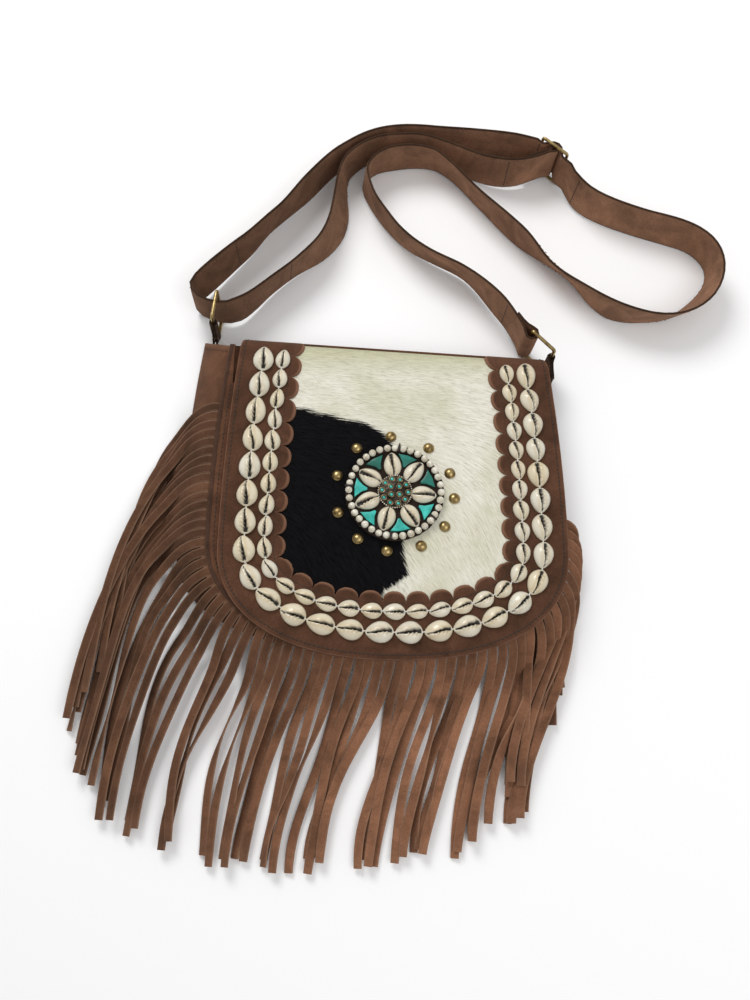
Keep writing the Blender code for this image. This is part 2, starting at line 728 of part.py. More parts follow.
def ribbon(name, mids, leathers, width, floors, finish):
    """A strap standing on edge: (x, y, lean) stations at mid height, with the floor under each."""
    sections = []
    for k, (x, y, lean) in enumerate(mids):
        before, after = mids[max(0, k - 1)], mids[min(len(mids) - 1, k + 1)]
        ahead = Vector((after[0] - before[0], after[1] - before[1])).normalized()
        left = Vector((-ahead.y, ahead.x, 0.0))
        tall = math.sqrt(width**2 - lean**2)
        low = Vector((x, y, floors[k])) - left * (lean / 2.0)
        high = Vector((x, y, floors[k] + tall)) + left * (lean / 2.0)
        thick = ((high - low).cross(Vector((ahead.x, ahead.y, 0.0)))).normalized() * (leathers / 2.0)
        sections.append([low - thick, low + thick, high + thick, high - thick])
    return add_piece(name, loft(sections), finish)


def slider_spot(along, across):
    """A point near the slider: along is west past its centre bar, across is to its far side."""
    u = Vector((math.cos(SLIDER_TURN), math.sin(SLIDER_TURN)))
    v = Vector((u.y, -u.x))
    return Vector(SLIDER_CENTRE) + u * along + v * across


def bight(bar, toward, radius, start, end, steps=7):
    """Stations round a bar, from one side of the direction toward to the other."""
    heading = math.atan2(toward[1], toward[0])
    found = []
    for k in range(steps):
        turn = heading + start + (end - start) * k / (steps - 1)
        found.append((bar[0] + radius * math.cos(turn), bar[1] + radius * math.sin(turn), 0.0))
    return found


def shoulder_strap(suede):
    """One long strap: sewn round the right ring, through the slider and the left ring, sewn round the slider's bar."""
    gap = STRAP_LEATHER + 0.0004
    first = Vector(STRAP_RIGHT_RUN[0][:2])
    bar = Vector(RIGHT_RING_FAR)
    away = (first - bar).normalized()
    left = Vector((-away.y, away.x))
    loop = WIRE_RADIUS + BIGHT_SLACK + STRAP_LEATHER / 2.0
    tail = [bar + away * reach + left * -(gap / 2.0 + spread) for reach, spread in ((0.022, 0.0), (0.014, 0.0), (0.0085, 0.0008))]
    route = [(p.x, p.y, 0.0) for p in tail]
    route += bight(bar, away, loop, math.radians(-52.0), math.radians(-308.0), steps=7)
    lead = [bar + away * reach + left * (gap / 2.0 + spread) for reach, spread in ((0.0085, 0.0008), (0.014, 0.0))]
    route += [(p.x, p.y, 0.0) for p in lead]
    lifted = len(route)
    route += [(x, y, lean) for x, y, lean in STRAP_RIGHT_RUN]
    weave = ((-0.0220, -0.0036), (-0.0175, -0.0033), (-0.0140, -0.0032), (-0.0110, -0.0028), (-0.0080, 0.0006), (-0.0045, 0.0047),
             (0.0, 0.0062), (0.0045, 0.0047), (0.0080, 0.0006), (0.0110, -0.0028), (0.0140, -0.0032), (0.0180, -0.0026))
    slider_first = len(route)
    route += [(*slider_spot(along, across), 0.0) for along, across in weave]
    slider_last = len(route)
    route += list(STRAP_OUTER_RUN)
    ring_first = len(route)
    route += list(STRAP_BIGHT)
    ring_last = len(route)
    route += list(STRAP_INNER_RUN)
    centre = Vector(SLIDER_CENTRE)
    away = (Vector(STRAP_INNER_RUN[-1][:2]) - centre).normalized()
    left = Vector((-away.y, away.x))
    end_first = len(route)
    route += [(*(centre + away * reach + left * (gap / 2.0)), 0.0) for reach in (0.018, 0.010, 0.0058)]
    wrap = SLIDER_WIRE + GAP + STRAP_LEATHER / 2.0
    route += bight(centre, away, wrap, math.radians(58.0), math.radians(302.0), steps=7)
    route += [(*(centre + away * reach - left * (gap / 2.0)), 0.0) for reach in (0.0058, 0.010, 0.018, 0.026)]
    floors = []
    for k in range(len(route)):
        near = min(abs(k - lifted) if k > lifted else 0,
                   max(slider_first - k, k - slider_last, 0),
                   max(ring_first - k, k - ring_last + 1, 0),
                   max(end_first - k, 0))
        floors.append(STRAP_LIFTED + (STRAP_FLOOR - STRAP_LIFTED) * smooth(near / 5.0))
    return ribbon("shoulder_strap", route, STRAP_LEATHER, STRAP_WIDTH, floors, suede)


def wire_frame(name, near, far, wire, inside, floor, finish, cross_bar=False):
    """A rectangular frame of round wire standing on edge between two plan points."""
    near, far = Vector(near), Vector(far)
    along = (far - near).normalized()
    low = floor + wire
    high = low + inside + 2.0 * wire
    corner = wire * 1.3
    reach = (far - near).length
    spots = []
    for cx, cz, start in ((reach - corner, high - corner, 0.0), (corner, high - corner, 90.0),
                          (corner, low + corner, 180.0), (reach - corner, low + corner, 270.0)):
        for k in range(3):
            turn = math.radians(start + 45.0 * k)
            spots.append((cx + corner * math.cos(turn), cz + corner * math.sin(turn), turn))
    side = Vector((-along.y, along.x, 0.0))
    sections = []
    for x, z, turn in spots:
        centre = Vector((near.x + along.x * x, near.y + along.y * x, z))
        out = Vector((along.x * math.cos(turn), along.y * math.cos(turn), math.sin(turn)))
        section = []
        for k in range(5):
            a = 2.0 * math.pi * k / 5.0
            section.append(centre + out * (wire * math.cos(a)) + side * (wire * math.sin(a)))
        sections.append(section)
    piece = add_piece(name, loft(sections, ring=True), finish, math.radians(70.0))
    if cross_bar:
        fuse_cross_bar(piece, near.lerp(far, 0.5), low, high, wire)
    return piece


def fuse_cross_bar(piece, middle, low, high, wire):
    """The slider's centre bar, joined to its frame."""
    bm = bmesh.new()
    bmesh.ops.create_cone(bm, cap_ends=True, segments=8, radius1=wire, radius2=wire, depth=high - low)
    bmesh.ops.translate(bm, verts=bm.verts, vec=(middle.x, middle.y, (low + high) / 2.0))
    bar = add_piece(piece.name + "_bar", bm, piece.data.materials[0])
    bar.hide_render = True
    bar.display_type = "WIRE"
    union = piece.modifiers.new("centre bar", "BOOLEAN")
    union.operation = "UNION"
    union.solver = "EXACT"
    union.object = bar


def tab(name, legs, bar, finish):
    """A strip of suede folded round a ring's near bar, its two ends sewn to the bag.

    legs are two runs of (x, y, low, high) stations that end beside the bar.
    """
    loop = WIRE_RADIUS + GAP + TAB_LEATHER / 2.0
    inward, outward = legs
    start = math.atan2(inward[-1][1] - bar[1], inward[-1][0] - bar[0])
    end = math.atan2(outward[-1][1] - bar[1], outward[-1][0] - bar[0])
    while end < start + math.pi:
        end += 2.0 * math.pi
    low, high = inward[-1][2], inward[-1][3]
    around = []
    for k in range(8):
        turn = start + (end - start) * k / 7
        around.append((bar[0] + loop * math.cos(turn), bar[1] + loop * math.sin(turn), low, high))
    stations = list(inward[:-1]) + around + list(reversed(outward[:-1]))
    sections = []
    for k, (x, y, low, high) in enumerate(stations):
        before, after = stations[max(0, k - 1)], stations[min(len(stations) - 1, k + 1)]
        ahead = Vector((after[0] - before[0], after[1] - before[1], 0.0)).normalized()
        side = Vector((-ahead.y, ahead.x, 0.0)) * (TAB_LEATHER / 2.0)
        bottom, top = Vector((x, y, low)), Vector((x, y, high))
        sections.append([bottom - side, bottom + side, top + side, top - side])
    return add_piece(name, loft(sections), finish)


def left_tab(suede):
    bar = Vector(LEFT_RING_NEAR)
    hem_back = BACK_TOP_Y
    half = TAB_FOLD / 2.0
    inward = [(bar.x + half + 0.0002, hem_back - 0.0015, 0.0150, 0.0330),
              (bar.x + half, bar.y - 0.0045, TAB_LOW, TAB_HIGH + 0.003),
              (bar.x + half + 0.0009, bar.y - 0.0024, TAB_LOW, TAB_HIGH + 0.003)]
    outward = [(bar.x - half - 0.0002, hem_back - 0.0005, 0.0120, 0.0300),
               (bar.x - half, bar.y - 0.0045, TAB_LOW, TAB_HIGH + 0.003),
               (bar.x - half - 0.0009, bar.y - 0.0024, TAB_LOW, TAB_HIGH + 0.003)]
    return tab("left_tab", (inward, outward), (bar.x, bar.y), suede)


def right_tab(suede):
    """Runs along the pouch's right side from below the flap's edge to the ring."""
    bar = Vector(RIGHT_RING_NEAR)
    half = TAB_FOLD / 2.0
    rim = FRONT_CENTRE_X + FRONT.half_width(0.060) + GAP + TAB_LEATHER / 2.0
    inward = [(bar.x + half - 0.0003, 0.0980, TAB_LOW, TAB_HIGH),
              (bar.x + half, bar.y - 0.0045, TAB_LOW, TAB_HIGH),
              (bar.x + half + 0.0009, bar.y - 0.0024, TAB_LOW, TAB_HIGH)]
    outward = [(rim + 0.0006, FRINGE_TOP_Y + 0.0010, TAB_LOW + 0.016, TAB_HIGH),
               (rim + 0.0040, 0.0760, TAB_LOW + 0.008, TAB_HIGH),
               (bar.x - half - 0.0003, 0.0960, TAB_LOW, TAB_HIGH),
               (bar.x - half, bar.y - 0.0045, TAB_LOW, TAB_HIGH),
               (bar.x - half - 0.0009, bar.y - 0.0024, TAB_LOW, TAB_HIGH)]
    return tab("right_tab", (inward, outward), (bar.x, bar.y), suede)


def main():
    clear_scene()
    suede = material("brown suede", (0.125, 0.058, 0.034), 0.95)
    fringe_suede = material("fringe suede", (0.110, 0.055, 0.035), 0.95)
    strap_suede = material("strap suede", (0.150, 0.075, 0.045), 0.92)
    lining = material("dark lining", (0.020, 0.015, 0.012), 0.90)
    hide = material("hair-on hide", (0.740, 0.720, 0.650), 0.70)
    shell = material("cowrie shell", (0.780, 0.700, 0.540), 0.30)
    pearl = material("pearl bead", (0.760, 0.750, 0.690), 0.25)
    stone = material("turquoise", (0.030, 0.420, 0.380), 0.35)
    backing = material("backing leather", (0.030, 0.020, 0.015), 0.90)
    brass = material("antique brass", (0.420, 0.300, 0.110), 0.35, 1.0)

    back_panel(suede)
    front_panel(suede)
    gusset(suede)
    back_lining(lining)

    flap_layer("flap_lining", 0.0, 0.0, LINING, 7, lining)
    flap_layer("hide_panel", BORDER_WIDTH - HIDE_OVERLAP, HIDE_LIFT, HIDE_LIFT + HIDE, 5, hide)
    flap_border(suede)
    shell_row("outer_shell_row", OUTER_SHELLS, OUTER_SHELL_WIDTH, OUTER_SHELL_INSET, OUTER_CUTS, shell)
    shell_row("inner_shell_row", INNER_SHELLS, INNER_SHELL_WIDTH, INNER_SHELL_INSET, INNER_CUTS, shell)

    medallion_backing(backing)
    bead_ring(pearl)
    for k in range(len(PETAL_ANGLES)):
        petal(k, shell)
        chip(k, stone)
    medallion_boss(brass)
    for k, angle in enumerate(STUD_ANGLES):
        stud(k, angle, brass)

    fringe(fringe_suede)
    shoulder_strap(strap_suede)
    wire_frame("left_ring", LEFT_RING_NEAR, LEFT_RING_FAR, WIRE_RADIUS, RING_INSIDE, RING_FLOOR, brass)
    wire_frame("right_ring", RIGHT_RING_NEAR, RIGHT_RING_FAR, WIRE_RADIUS, RING_INSIDE, RING_FLOOR, brass)
    west = slider_spot(SLIDER_BAR_PITCH, 0.0)
    east = slider_spot(-SLIDER_BAR_PITCH, 0.0)
    wire_frame("slider", west, east, SLIDER_WIRE, RING_INSIDE, RING_FLOOR, brass, cross_bar=True)
    left_tab(suede)
    right_tab(suede)


main()
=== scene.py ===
"""A fringed suede shoulder bag, its flap dressed with hide, cowries and a turquoise medallion."""

import bisect
import math
import random

import bmesh
import bpy
from mathutils import Matrix, Vector


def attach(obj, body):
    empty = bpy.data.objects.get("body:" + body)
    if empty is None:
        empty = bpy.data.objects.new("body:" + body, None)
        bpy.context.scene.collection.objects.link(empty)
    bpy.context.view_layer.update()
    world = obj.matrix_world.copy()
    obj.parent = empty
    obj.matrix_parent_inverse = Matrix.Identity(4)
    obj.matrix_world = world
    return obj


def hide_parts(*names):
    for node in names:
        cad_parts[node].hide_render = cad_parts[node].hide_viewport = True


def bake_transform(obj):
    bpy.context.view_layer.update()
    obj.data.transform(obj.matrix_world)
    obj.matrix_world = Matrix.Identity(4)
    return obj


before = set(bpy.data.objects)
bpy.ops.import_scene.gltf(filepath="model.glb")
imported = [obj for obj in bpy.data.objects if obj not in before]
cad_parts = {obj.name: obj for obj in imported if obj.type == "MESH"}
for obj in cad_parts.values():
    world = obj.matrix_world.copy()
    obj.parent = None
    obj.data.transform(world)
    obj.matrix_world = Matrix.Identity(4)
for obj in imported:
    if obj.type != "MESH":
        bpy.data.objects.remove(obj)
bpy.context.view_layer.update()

# The camera looks down on the bag as the photograph does: from a little below its foot,
# turned slightly to the left and rolled.
view_from = Vector((-0.0454, -0.2284, 0.7272))
view_to = Vector((-0.0160, -0.0190, 0.0400))
camera_roll = math.radians(9.0)
back = (view_from - view_to).normalized()
right = Vector((0.0, 0.0, 1.0)).cross(back).normalized()
up = back.cross(right)
rolled_right = right * math.cos(camera_roll) + up * math.sin(camera_roll)
rolled_up = up * math.cos(camera_roll) - right * math.sin(camera_roll)
camera_data = bpy.data.cameras.new("camera")
camera_data.sensor_fit = "VERTICAL"
camera_data.sensor_height = 36.0
camera_data.lens = 31.82
camera_data.clip_start = 0.01
camera = bpy.data.objects.new("camera", camera_data)
turn = Matrix((rolled_right, rolled_up, back)).transposed()
camera.matrix_world = Matrix.Translation(view_from) @ turn.to_4x4()
bpy.context.scene.collection.objects.link(camera)
bpy.context.scene.camera = camera

# The studio: a white table and two broad soft lamps, the stronger one above and beyond the strap.
# An even white light from all round fills their shadows.
bpy.context.scene.view_settings.view_transform = "Standard"


def feed(node, values):
    """Sets a shader node's inputs, each to a value or from another node's output."""
    for socket, value in values.items():
        if isinstance(value, bpy.types.NodeSocket):
            node.id_data.links.new(value, node.inputs[socket])
        else:
            node.inputs[socket].default_value = value


def new_material(name, looks):
    """A material, its node tree and its shader, which has the given looks."""
    made = bpy.data.materials.new(name)
    made.use_nodes = True
    shader = made.node_tree.nodes["Principled BSDF"]
    feed(shader, looks)
    return made, made.node_tree, shader


def soft_lamp(name, place, aim, width, power):
    lamp = bpy.data.lights.new(name, "AREA")
    lamp.shape = "DISK"
    lamp.size = width
    lamp.energy = power
    holder = bpy.data.objects.new(name, lamp)
    holder.location = place
    holder.rotation_euler = (Vector(aim) - Vector(place)).to_track_quat("-Z", "Y").to_euler()
    bpy.context.scene.collection.objects.link(holder)


soft_lamp("lamp beyond the strap", (-0.55, 1.05, 1.25), (0.0, 0.05, 0.0), 0.8, 15.0)
soft_lamp("lamp over the foot", (0.70, -0.55, 1.30), (0.0, 0.0, 0.0), 1.1, 6.5)
world = bpy.data.worlds.new("studio")
world.use_nodes = True
feed(world.node_tree.nodes["Background"], {"Color": (1.0, 1.0, 1.0, 1.0), "Strength": 0.55})
bpy.context.scene.world = world

bm = bmesh.new()
bmesh.ops.create_grid(bm, x_segments=1, y_segments=1, size=3.0)
bmesh.ops.translate(bm, verts=bm.verts, vec=(0.0, 0.0, -0.0002))
floor_mesh = bpy.data.meshes.new("table")
bm.to_mesh(floor_mesh)
bm.free()
floor = bpy.data.objects.new("table", floor_mesh)
bpy.context.scene.collection.objects.link(floor)
table_white, tree, shader = new_material(
    "table white", {"Base Color": (0.95, 0.95, 0.95, 1.0), "Roughness": 0.9})
floor_mesh.materials.append(table_white)

# The pouch's front, side wall and back: chocolate suede, cut flat and sewn along a curved U.
# The front lies a little to the right of the back, so the left wall shows its face.
suede_thickness = 0.0018
gap = 0.0003
front_top_face = 0.0360
foot_power = 2.3


def smooth(t):
    t = min(1.0, max(0.0, t))
    return t * t * (3.0 - 2.0 * t)


def mix(a, b, t):
    return a + (b - a) * t


def squared(value, power):
    """A cosine or sine with its curve squared off, for flat sides and tight corners."""
    return math.copysign(abs(value) ** power, value)


def distances(points):
    """How far along a path each of its points lies."""
    reach = [0.0]
    for before, after in zip(points, points[1:]):
        reach.append(reach[-1] + (after - before).length)
    return reach


class Outline:
    """The U of a bag panel: sides that spread a little from the top, and one rounded foot."""

    def __init__(self, centre_x, widest, top_half, top_y, mid_y, foot_y):
        self.centre_x = centre_x
        self.widest = widest
        self.top_half = top_half
        self.top_y = top_y
        self.mid_y = mid_y
        self.foot_y = foot_y

    def half_width(self, y):
        if y >= self.mid_y:
            risen = (y - self.mid_y) / (self.top_y - self.mid_y)
            return self.widest - (self.widest - self.top_half) * risen**2
        fallen = min(1.0, (self.mid_y - y) / (self.mid_y - self.foot_y))
        return self.widest * (1.0 - fallen**foot_power) ** (1.0 / foot_power)

    def dense(self, left_y, right_y):
        side, foot = 60, 240
        points = []
        for k in range(side):
            y = left_y + (self.mid_y - left_y) * k / side
            points.append(Vector((self.centre_x - self.half_width(y), y)))
        for k in range(foot + 1):
            angle = math.pi * k / foot
            down = math.sin(angle) ** (2.0 / foot_power)
            x = self.centre_x - self.widest * squared(math.cos(angle), 2.0 / foot_power)
            points.append(Vector((x, self.mid_y - (self.mid_y - self.foot_y) * down)))
        for k in range(1, side + 1):
            y = self.mid_y + (right_y - self.mid_y) * k / side
            points.append(Vector((self.centre_x + self.half_width(y), y)))
        return points

    def walk(self, shares, left_y, right_y):
        """(point, outward) at each share of the way down the left, round the foot and up the right."""
        points = self.dense(left_y, right_y)
        reach = distances(points)
        found = []
        k = 0
        for share in shares:
            goal = min(1.0, max(0.0, share)) * reach[-1]
            while k < len(reach) - 2 and reach[k + 1] < goal:
                k += 1
            part = (goal - reach[k]) / (reach[k + 1] - reach[k])
            ahead = points[min(k + 4, len(points) - 1)] - points[max(k - 3, 0)]
            outward = Vector((ahead.y, -ahead.x)).normalized()
            found.append((points[k].lerp(points[k + 1], part), outward))
        return found

    def length(self, left_y, right_y):
        return distances(self.dense(left_y, right_y))[-1]


def even(count):
    return [k / (count - 1) for k in range(count)]


def finished(name, bm, material, body, sharp_deg=40.0):
    """Turns a bmesh into a smooth-shaded piece, which moves with a body of the bag if one is named."""
    mesh = bpy.data.meshes.new(name)
    bm.to_mesh(mesh)
    bm.free()
    mesh.materials.append(material)
    mesh.shade_smooth()
    mesh.set_sharp_from_angle(angle=math.radians(sharp_deg))
    piece = bpy.data.objects.new(name, mesh)
    bpy.context.scene.collection.objects.link(piece)
    if body:
        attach(piece, body)
    return piece


def draped_grid(columns, rows, place, around=False, along=False, caps=False, marks=None):
    """A grid of cells laid onto a surface: place(u, v) gives each corner's position.

    around closes it across its columns and along closes it over its rows; caps shuts a tube's ends.
    marks maps attribute names to functions of (u, v).
    """
    bm = bmesh.new()
    bmesh.ops.create_grid(bm, x_segments=columns, y_segments=rows, size=0.5)
    layers = {name: bm.verts.layers.float.new(name) for name in (marks or {})}
    for vert in bm.verts:
        u, v = vert.co.x + 0.5, vert.co.y + 0.5
        for name, layer in layers.items():
            vert[layer] = marks[name](u, v)
        if around and u > 1.0 - 1e-5:
            u = 0.0
        if along and v > 1.0 - 1e-5:
            v = 0.0
        vert.co = place(u, v)
    if around or along:
        bmesh.ops.remove_doubles(bm, verts=bm.verts, dist=1e-6)
    if caps:
        rims = [edge for edge in bm.edges if edge.is_boundary]
        bmesh.ops.holes_fill(bm, edges=rims, sides=0)
    bmesh.ops.recalc_face_normals(bm, faces=bm.faces)
    return bm


def joined(pieces):
    """One bmesh from several."""
    whole = bmesh.new()
    for bm in pieces:
        holder = bpy.data.meshes.new("holder")
        bm.to_mesh(holder)
        bm.free()
        whole.from_mesh(holder)
        bpy.data.meshes.remove(holder)
    return whole


def node_at(tree, kind, x, y, values=None, **settings):
    """Adds a shader node, with its settings and then its inputs."""
    made = tree.nodes.new(kind)
    made.location = (x, y)
    for name, value in settings.items():
        setattr(made, name, value)
    feed(made, values or {})
    return made


def mark_at(tree, x, y, name):
    """What a mark on the mesh says at each point."""
    return node_at(tree, "ShaderNodeAttribute", x, y, attribute_name=name).outputs["Fac"]


def own_place(tree, x, y):
    """Each point's place on the bag."""
    return node_at(tree, "ShaderNodeTexCoord", x, y).outputs["Object"]


def noise_at(tree, x, y, place, scale, detail=2.0, roughness=0.5, distortion=0.0):
    return node_at(tree, "ShaderNodeTexNoise", x, y, {
        "Vector": place, "Scale": scale, "Detail": detail, "Roughness": roughness,
        "Distortion": distortion})


def range_at(tree, x, y, value, from_min, from_max, to_min, to_max):
    """Carries a value from one range over to another."""
    return node_at(tree, "ShaderNodeMapRange", x, y, {
        "Value": value, "From Min": from_min, "From Max": from_max, "To Min": to_min, "To Max": to_max,
    }).outputs["Result"]


def mix_at(tree, x, y, factor, below, above, blend="MIX"):
    """Mixes two colours."""
    return node_at(tree, "ShaderNodeMix", x, y, {"Factor": factor, "A": below, "B": above},
                   data_type="RGBA", blend_type=blend).outputs["Result"]


def ramp_at(tree, x, y, value, *stops):
    """Turns a value into colour, through stops of (position, colour)."""
    made = node_at(tree, "ShaderNodeValToRGB", x, y, {"Fac": value})
    first, last = made.color_ramp.elements
    for element, (position, colour) in ((first, stops[0]), (last, stops[-1])):
        element.position = position
        element.color = (*colour, 1.0)
    for position, colour in stops[1:-1]:
        made.color_ramp.elements.new(position).color = (*colour, 1.0)
    return made.outputs["Color"]


def bump_at(tree, height, strength, distance):
    return node_at(tree, "ShaderNodeBump", -250, -250, {
        "Height": height, "Strength": strength, "Distance": distance}).outputs["Normal"]


def nap_group():
    """Suede's nap: cloudy brushed patches, fine fibre speckle and pale rubbed edges."""
    group = bpy.data.node_groups.new("suede nap", "ShaderNodeTree")
    for name, side, kind, value in (
            ("Colour", "INPUT", "NodeSocketColor", (0.15, 0.06, 0.03, 1.0)),
            ("Rubbed", "INPUT", "NodeSocketColor", (0.3, 0.16, 0.1, 1.0)),
            ("Rub", "INPUT", "NodeSocketFloat", 0.0),
            ("Tone", "INPUT", "NodeSocketFloat", 1.0),
            ("Colour", "OUTPUT", "NodeSocketColor", None),
            ("Height", "OUTPUT", "NodeSocketFloat", None)):
        made = group.interface.new_socket(name=name, in_out=side, socket_type=kind)
        if value is not None:
            made.default_value = value
    taken = node_at(group, "NodeGroupInput", -1200, 0).outputs
    place = own_place(group, -1200, -300)
    clouds = noise_at(group, -900, 200, place, 34.0, 5.0, 0.6, 0.8).outputs["Fac"]
    fibres = noise_at(group, -900, -100, place, 950.0, 4.0, 0.7).outputs["Fac"]
    grain = noise_at(group, -900, -400, place, 230.0, 3.0).outputs["Fac"]
    brushed = range_at(group, -650, 200, clouds, 0.34, 0.68, 0.66, 1.32)
    speck = range_at(group, -650, -100, fibres, 0.3, 0.7, 0.72, 1.30)
    both = node_at(group, "ShaderNodeMath", -430, 100, {0: brushed, 1: speck}, operation="MULTIPLY")
    toned = node_at(group, "ShaderNodeMath", -430, -60, {0: both.outputs[0], 1: taken["Tone"]},
                    operation="MULTIPLY")
    grey = node_at(group, "ShaderNodeCombineColor", -330, -60,
                   {channel: toned.outputs[0] for channel in ("Red", "Green", "Blue")})
    shade = mix_at(group, -200, 100, 1.0, taken["Colour"], grey.outputs["Color"], "MULTIPLY")
    worn = mix_at(group, 150, 60, taken["Rub"], shade, taken["Rubbed"])
    height = node_at(group, "ShaderNodeMath", -200, -250, {0: grain, 1: 0.6, 2: fibres},
                     operation="MULTIPLY_ADD")
    node_at(group, "NodeGroupOutput", 700, 0, {"Colour": worn, "Height": height.outputs[0]})
    return group


nap = nap_group()


def suede(name, colour, rubbed, rub_mark=None, tone_mark=None, bump=0.35):
    """Suede of one colour, rubbed pale or toned where the mesh carries the named marks."""
    made, tree, shader = new_material(name, {
        "Roughness": 0.95, "Specular IOR Level": 0.12, "Sheen Weight": 0.15, "Sheen Roughness": 0.6,
        "Sheen Tint": (0.75, 0.46, 0.31, 1.0)})
    surface = node_at(tree, "ShaderNodeGroup", -500, 200, node_tree=nap)
    feed(surface, {"Colour": (*colour, 1.0), "Rubbed": (*rubbed, 1.0)})
    for socket, mark, y in (("Rub", rub_mark, 100), ("Tone", tone_mark, -100)):
        if mark:
            feed(surface, {socket: mark_at(tree, -750, y, mark)})
    feed(shader, {"Base Color": surface.outputs["Colour"],
                  "Normal": bump_at(tree, surface.outputs["Height"], bump, 0.0006)})
    return made


body_suede = suede("pouch suede", (0.098, 0.043, 0.023), (0.20, 0.11, 0.07), "rub")
back_top_y = 0.136
front_top_y = 0.119
back_outline = Outline(-0.0395, 0.1405, 0.129, back_top_y, -0.050, -0.134)
front_outline = Outline(-0.0095, 0.1405, 0.1307, front_top_y, -0.050, -0.136)
gusset_floor = suede_thickness + gap
header_top = front_top_face - suede_thickness - gap
fringe_leather = 0.0013
gusset_top = header_top - fringe_leather - gap
gusset_bulge = 0.004
right_gusset_end = 0.079


def remembered(walker):
    """Keeps what a slow walk round an outline gave for each share."""
    known = {}

    def look_up(outline, v, left_y, right_y):
        key = (id(outline), round(v, 6), left_y, right_y)
        if key not in known:
            known[key] = walker(outline, v, left_y, right_y)
        return known[key]

    return look_up


spot_on = remembered(lambda outline, v, left_y, right_y: outline.walk([v], left_y, right_y)[0])


def gusset_place(u, v):
    low, out_low = spot_on(back_outline, v, back_top_y, right_gusset_end)
    high, out_high = spot_on(front_outline, v, front_top_y, right_gusset_end)
    out = (out_low + out_high).normalized()
    outside = u < 0.5
    rise = u * 2.0 if outside else (1.0 - u) * 2.0
    spot = low.lerp(high, rise) + out * gusset_bulge * math.sin(math.pi * rise)
    ripple = 0.0006 * math.sin(v * 61.0) * math.sin(math.pi * rise) * smooth(1.5 - 3.0 * v)
    spot = spot + out * (ripple if outside else ripple - suede_thickness)
    return Vector((spot.x, spot.y, gusset_floor + (gusset_top - gusset_floor) * rise))


def hem_rub(u, v):
    """The hem at the wall's top left end is rubbed."""
    return 0.7 * smooth((0.006 - v) / 0.004)


side_wall = finished(
    "side_wall", draped_grid(20, 150, gusset_place, around=True, caps=True, marks={"rub": hem_rub}),
    body_suede, "pouch")
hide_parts("gusset")
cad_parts["back_panel"].data.materials[0] = body_suede
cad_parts["front_panel"].data.materials[0] = body_suede

# The front's edge: the panel is turned over the seam, so that it ends in a soft rounded ridge
# with a row of dark thread beside it.
ridge_radius = 0.0019
right_seam_end = 0.083


def ridge_place(u, v):
    spot, out = spot_on(front_outline, v, front_top_y, right_seam_end)
    angle = 2.0 * math.pi * u
    side = spot + out * (ridge_radius * 1.3 * math.cos(angle) - ridge_radius * 0.4)
    swell = 1.0 + 0.06 * math.sin(v * 210.0)
    z = front_top_face - ridge_radius * 0.82 + ridge_radius * math.sin(angle) * swell
    return Vector((side.x, side.y, z))


edge_suede = suede("turned edge suede", (0.052, 0.026, 0.017), (0.14, 0.08, 0.05), bump=0.3)
finished(
    "front_seam_ridge", draped_grid(10, 260, ridge_place, around=True, caps=True),
    edge_suede, "pouch")


def mottled(name, looks, scale, low, high):
    """A material in two tones of fine noise, each a (position, colour), as of a thread's plies."""
    made, tree, shader = new_material(name, looks)
    noise = noise_at(tree, -600, 0, own_place(tree, -800, 0), scale)
    feed(shader, {"Base Color": ramp_at(tree, -350, 0, noise.outputs["Fac"], low, high)})
    return made


thread_dark = mottled("dark thread", {"Roughness": 0.6}, 1500.0,
                      (0.0, (0.006, 0.004, 0.003)), (1.0, (0.040, 0.026, 0.018)))


def frame_on(centre, along, normal):
    """A matrix that stands a template on a surface: its Y runs along, its Z out of the surface."""
    y = along.normalized()
    x = y.cross(normal).normalized()
    z = x.cross(y).normalized()
    turned = Matrix((x, y, z)).transposed()
    return Matrix.Translation(centre) @ turned.to_4x4()


skyward = Vector((0.0, 0.0, 1.0))


def stitch_row(name, spots, length, thickness, thread, body):
    """Sunk stitches at (centre, along, normal), each a small rounded length of thread."""
    size = Matrix.Diagonal((thickness, length, thickness * 0.8, 1.0))
    shape = size @ Matrix.Rotation(math.pi / 2, 4, "X")
    batches = []
    # a bmesh slows down as it grows, so the stitches are made in batches
    batch_size = 60
    for first in range(0, len(spots), batch_size):
        batch = bmesh.new()
        for centre, along, normal in spots[first:first + batch_size]:
            bmesh.ops.create_uvsphere(batch, u_segments=6, v_segments=4, radius=0.5,
                                      matrix=frame_on(centre, along, normal) @ shape)
        batches.append(batch)
    return finished(name, joined(batches), thread, body, sharp_deg=80.0)


def seam_spots(outline, inset, z, pitch, left_y, right_y):
    count = int(outline.length(left_y, right_y) / pitch)
    spots = []
    for spot, out in outline.walk([(k + 0.5) / count for k in range(count)], left_y, right_y):
        centre = spot - out * inset
        spots.append((Vector((centre.x, centre.y, z)), Vector((-out.y, out.x, 0.0)), skyward))
    return spots


seam_inset = 0.0052
seam_pitch = 0.0040
stitch_row("front_seam_stitches", seam_spots(front_outline, seam_inset, front_top_face + 0.0001, seam_pitch,
                                             right_seam_end, right_seam_end),
           0.0029, 0.0010, thread_dark, "pouch")

# The fringe: one strip of thin suede, sewn into the front seam and cut into strands, which drop
# over the side wall and lie in loose layers on the table.
strand_pitch = 0.0077
slit = 0.0006
fringe_top_y = 0.065
header_sewn = 0.008
header_proud = 0.006
strand_stations = 30
strand_fall = 0.046
strand_rest = 0.0026
strand_layer = 0.0027
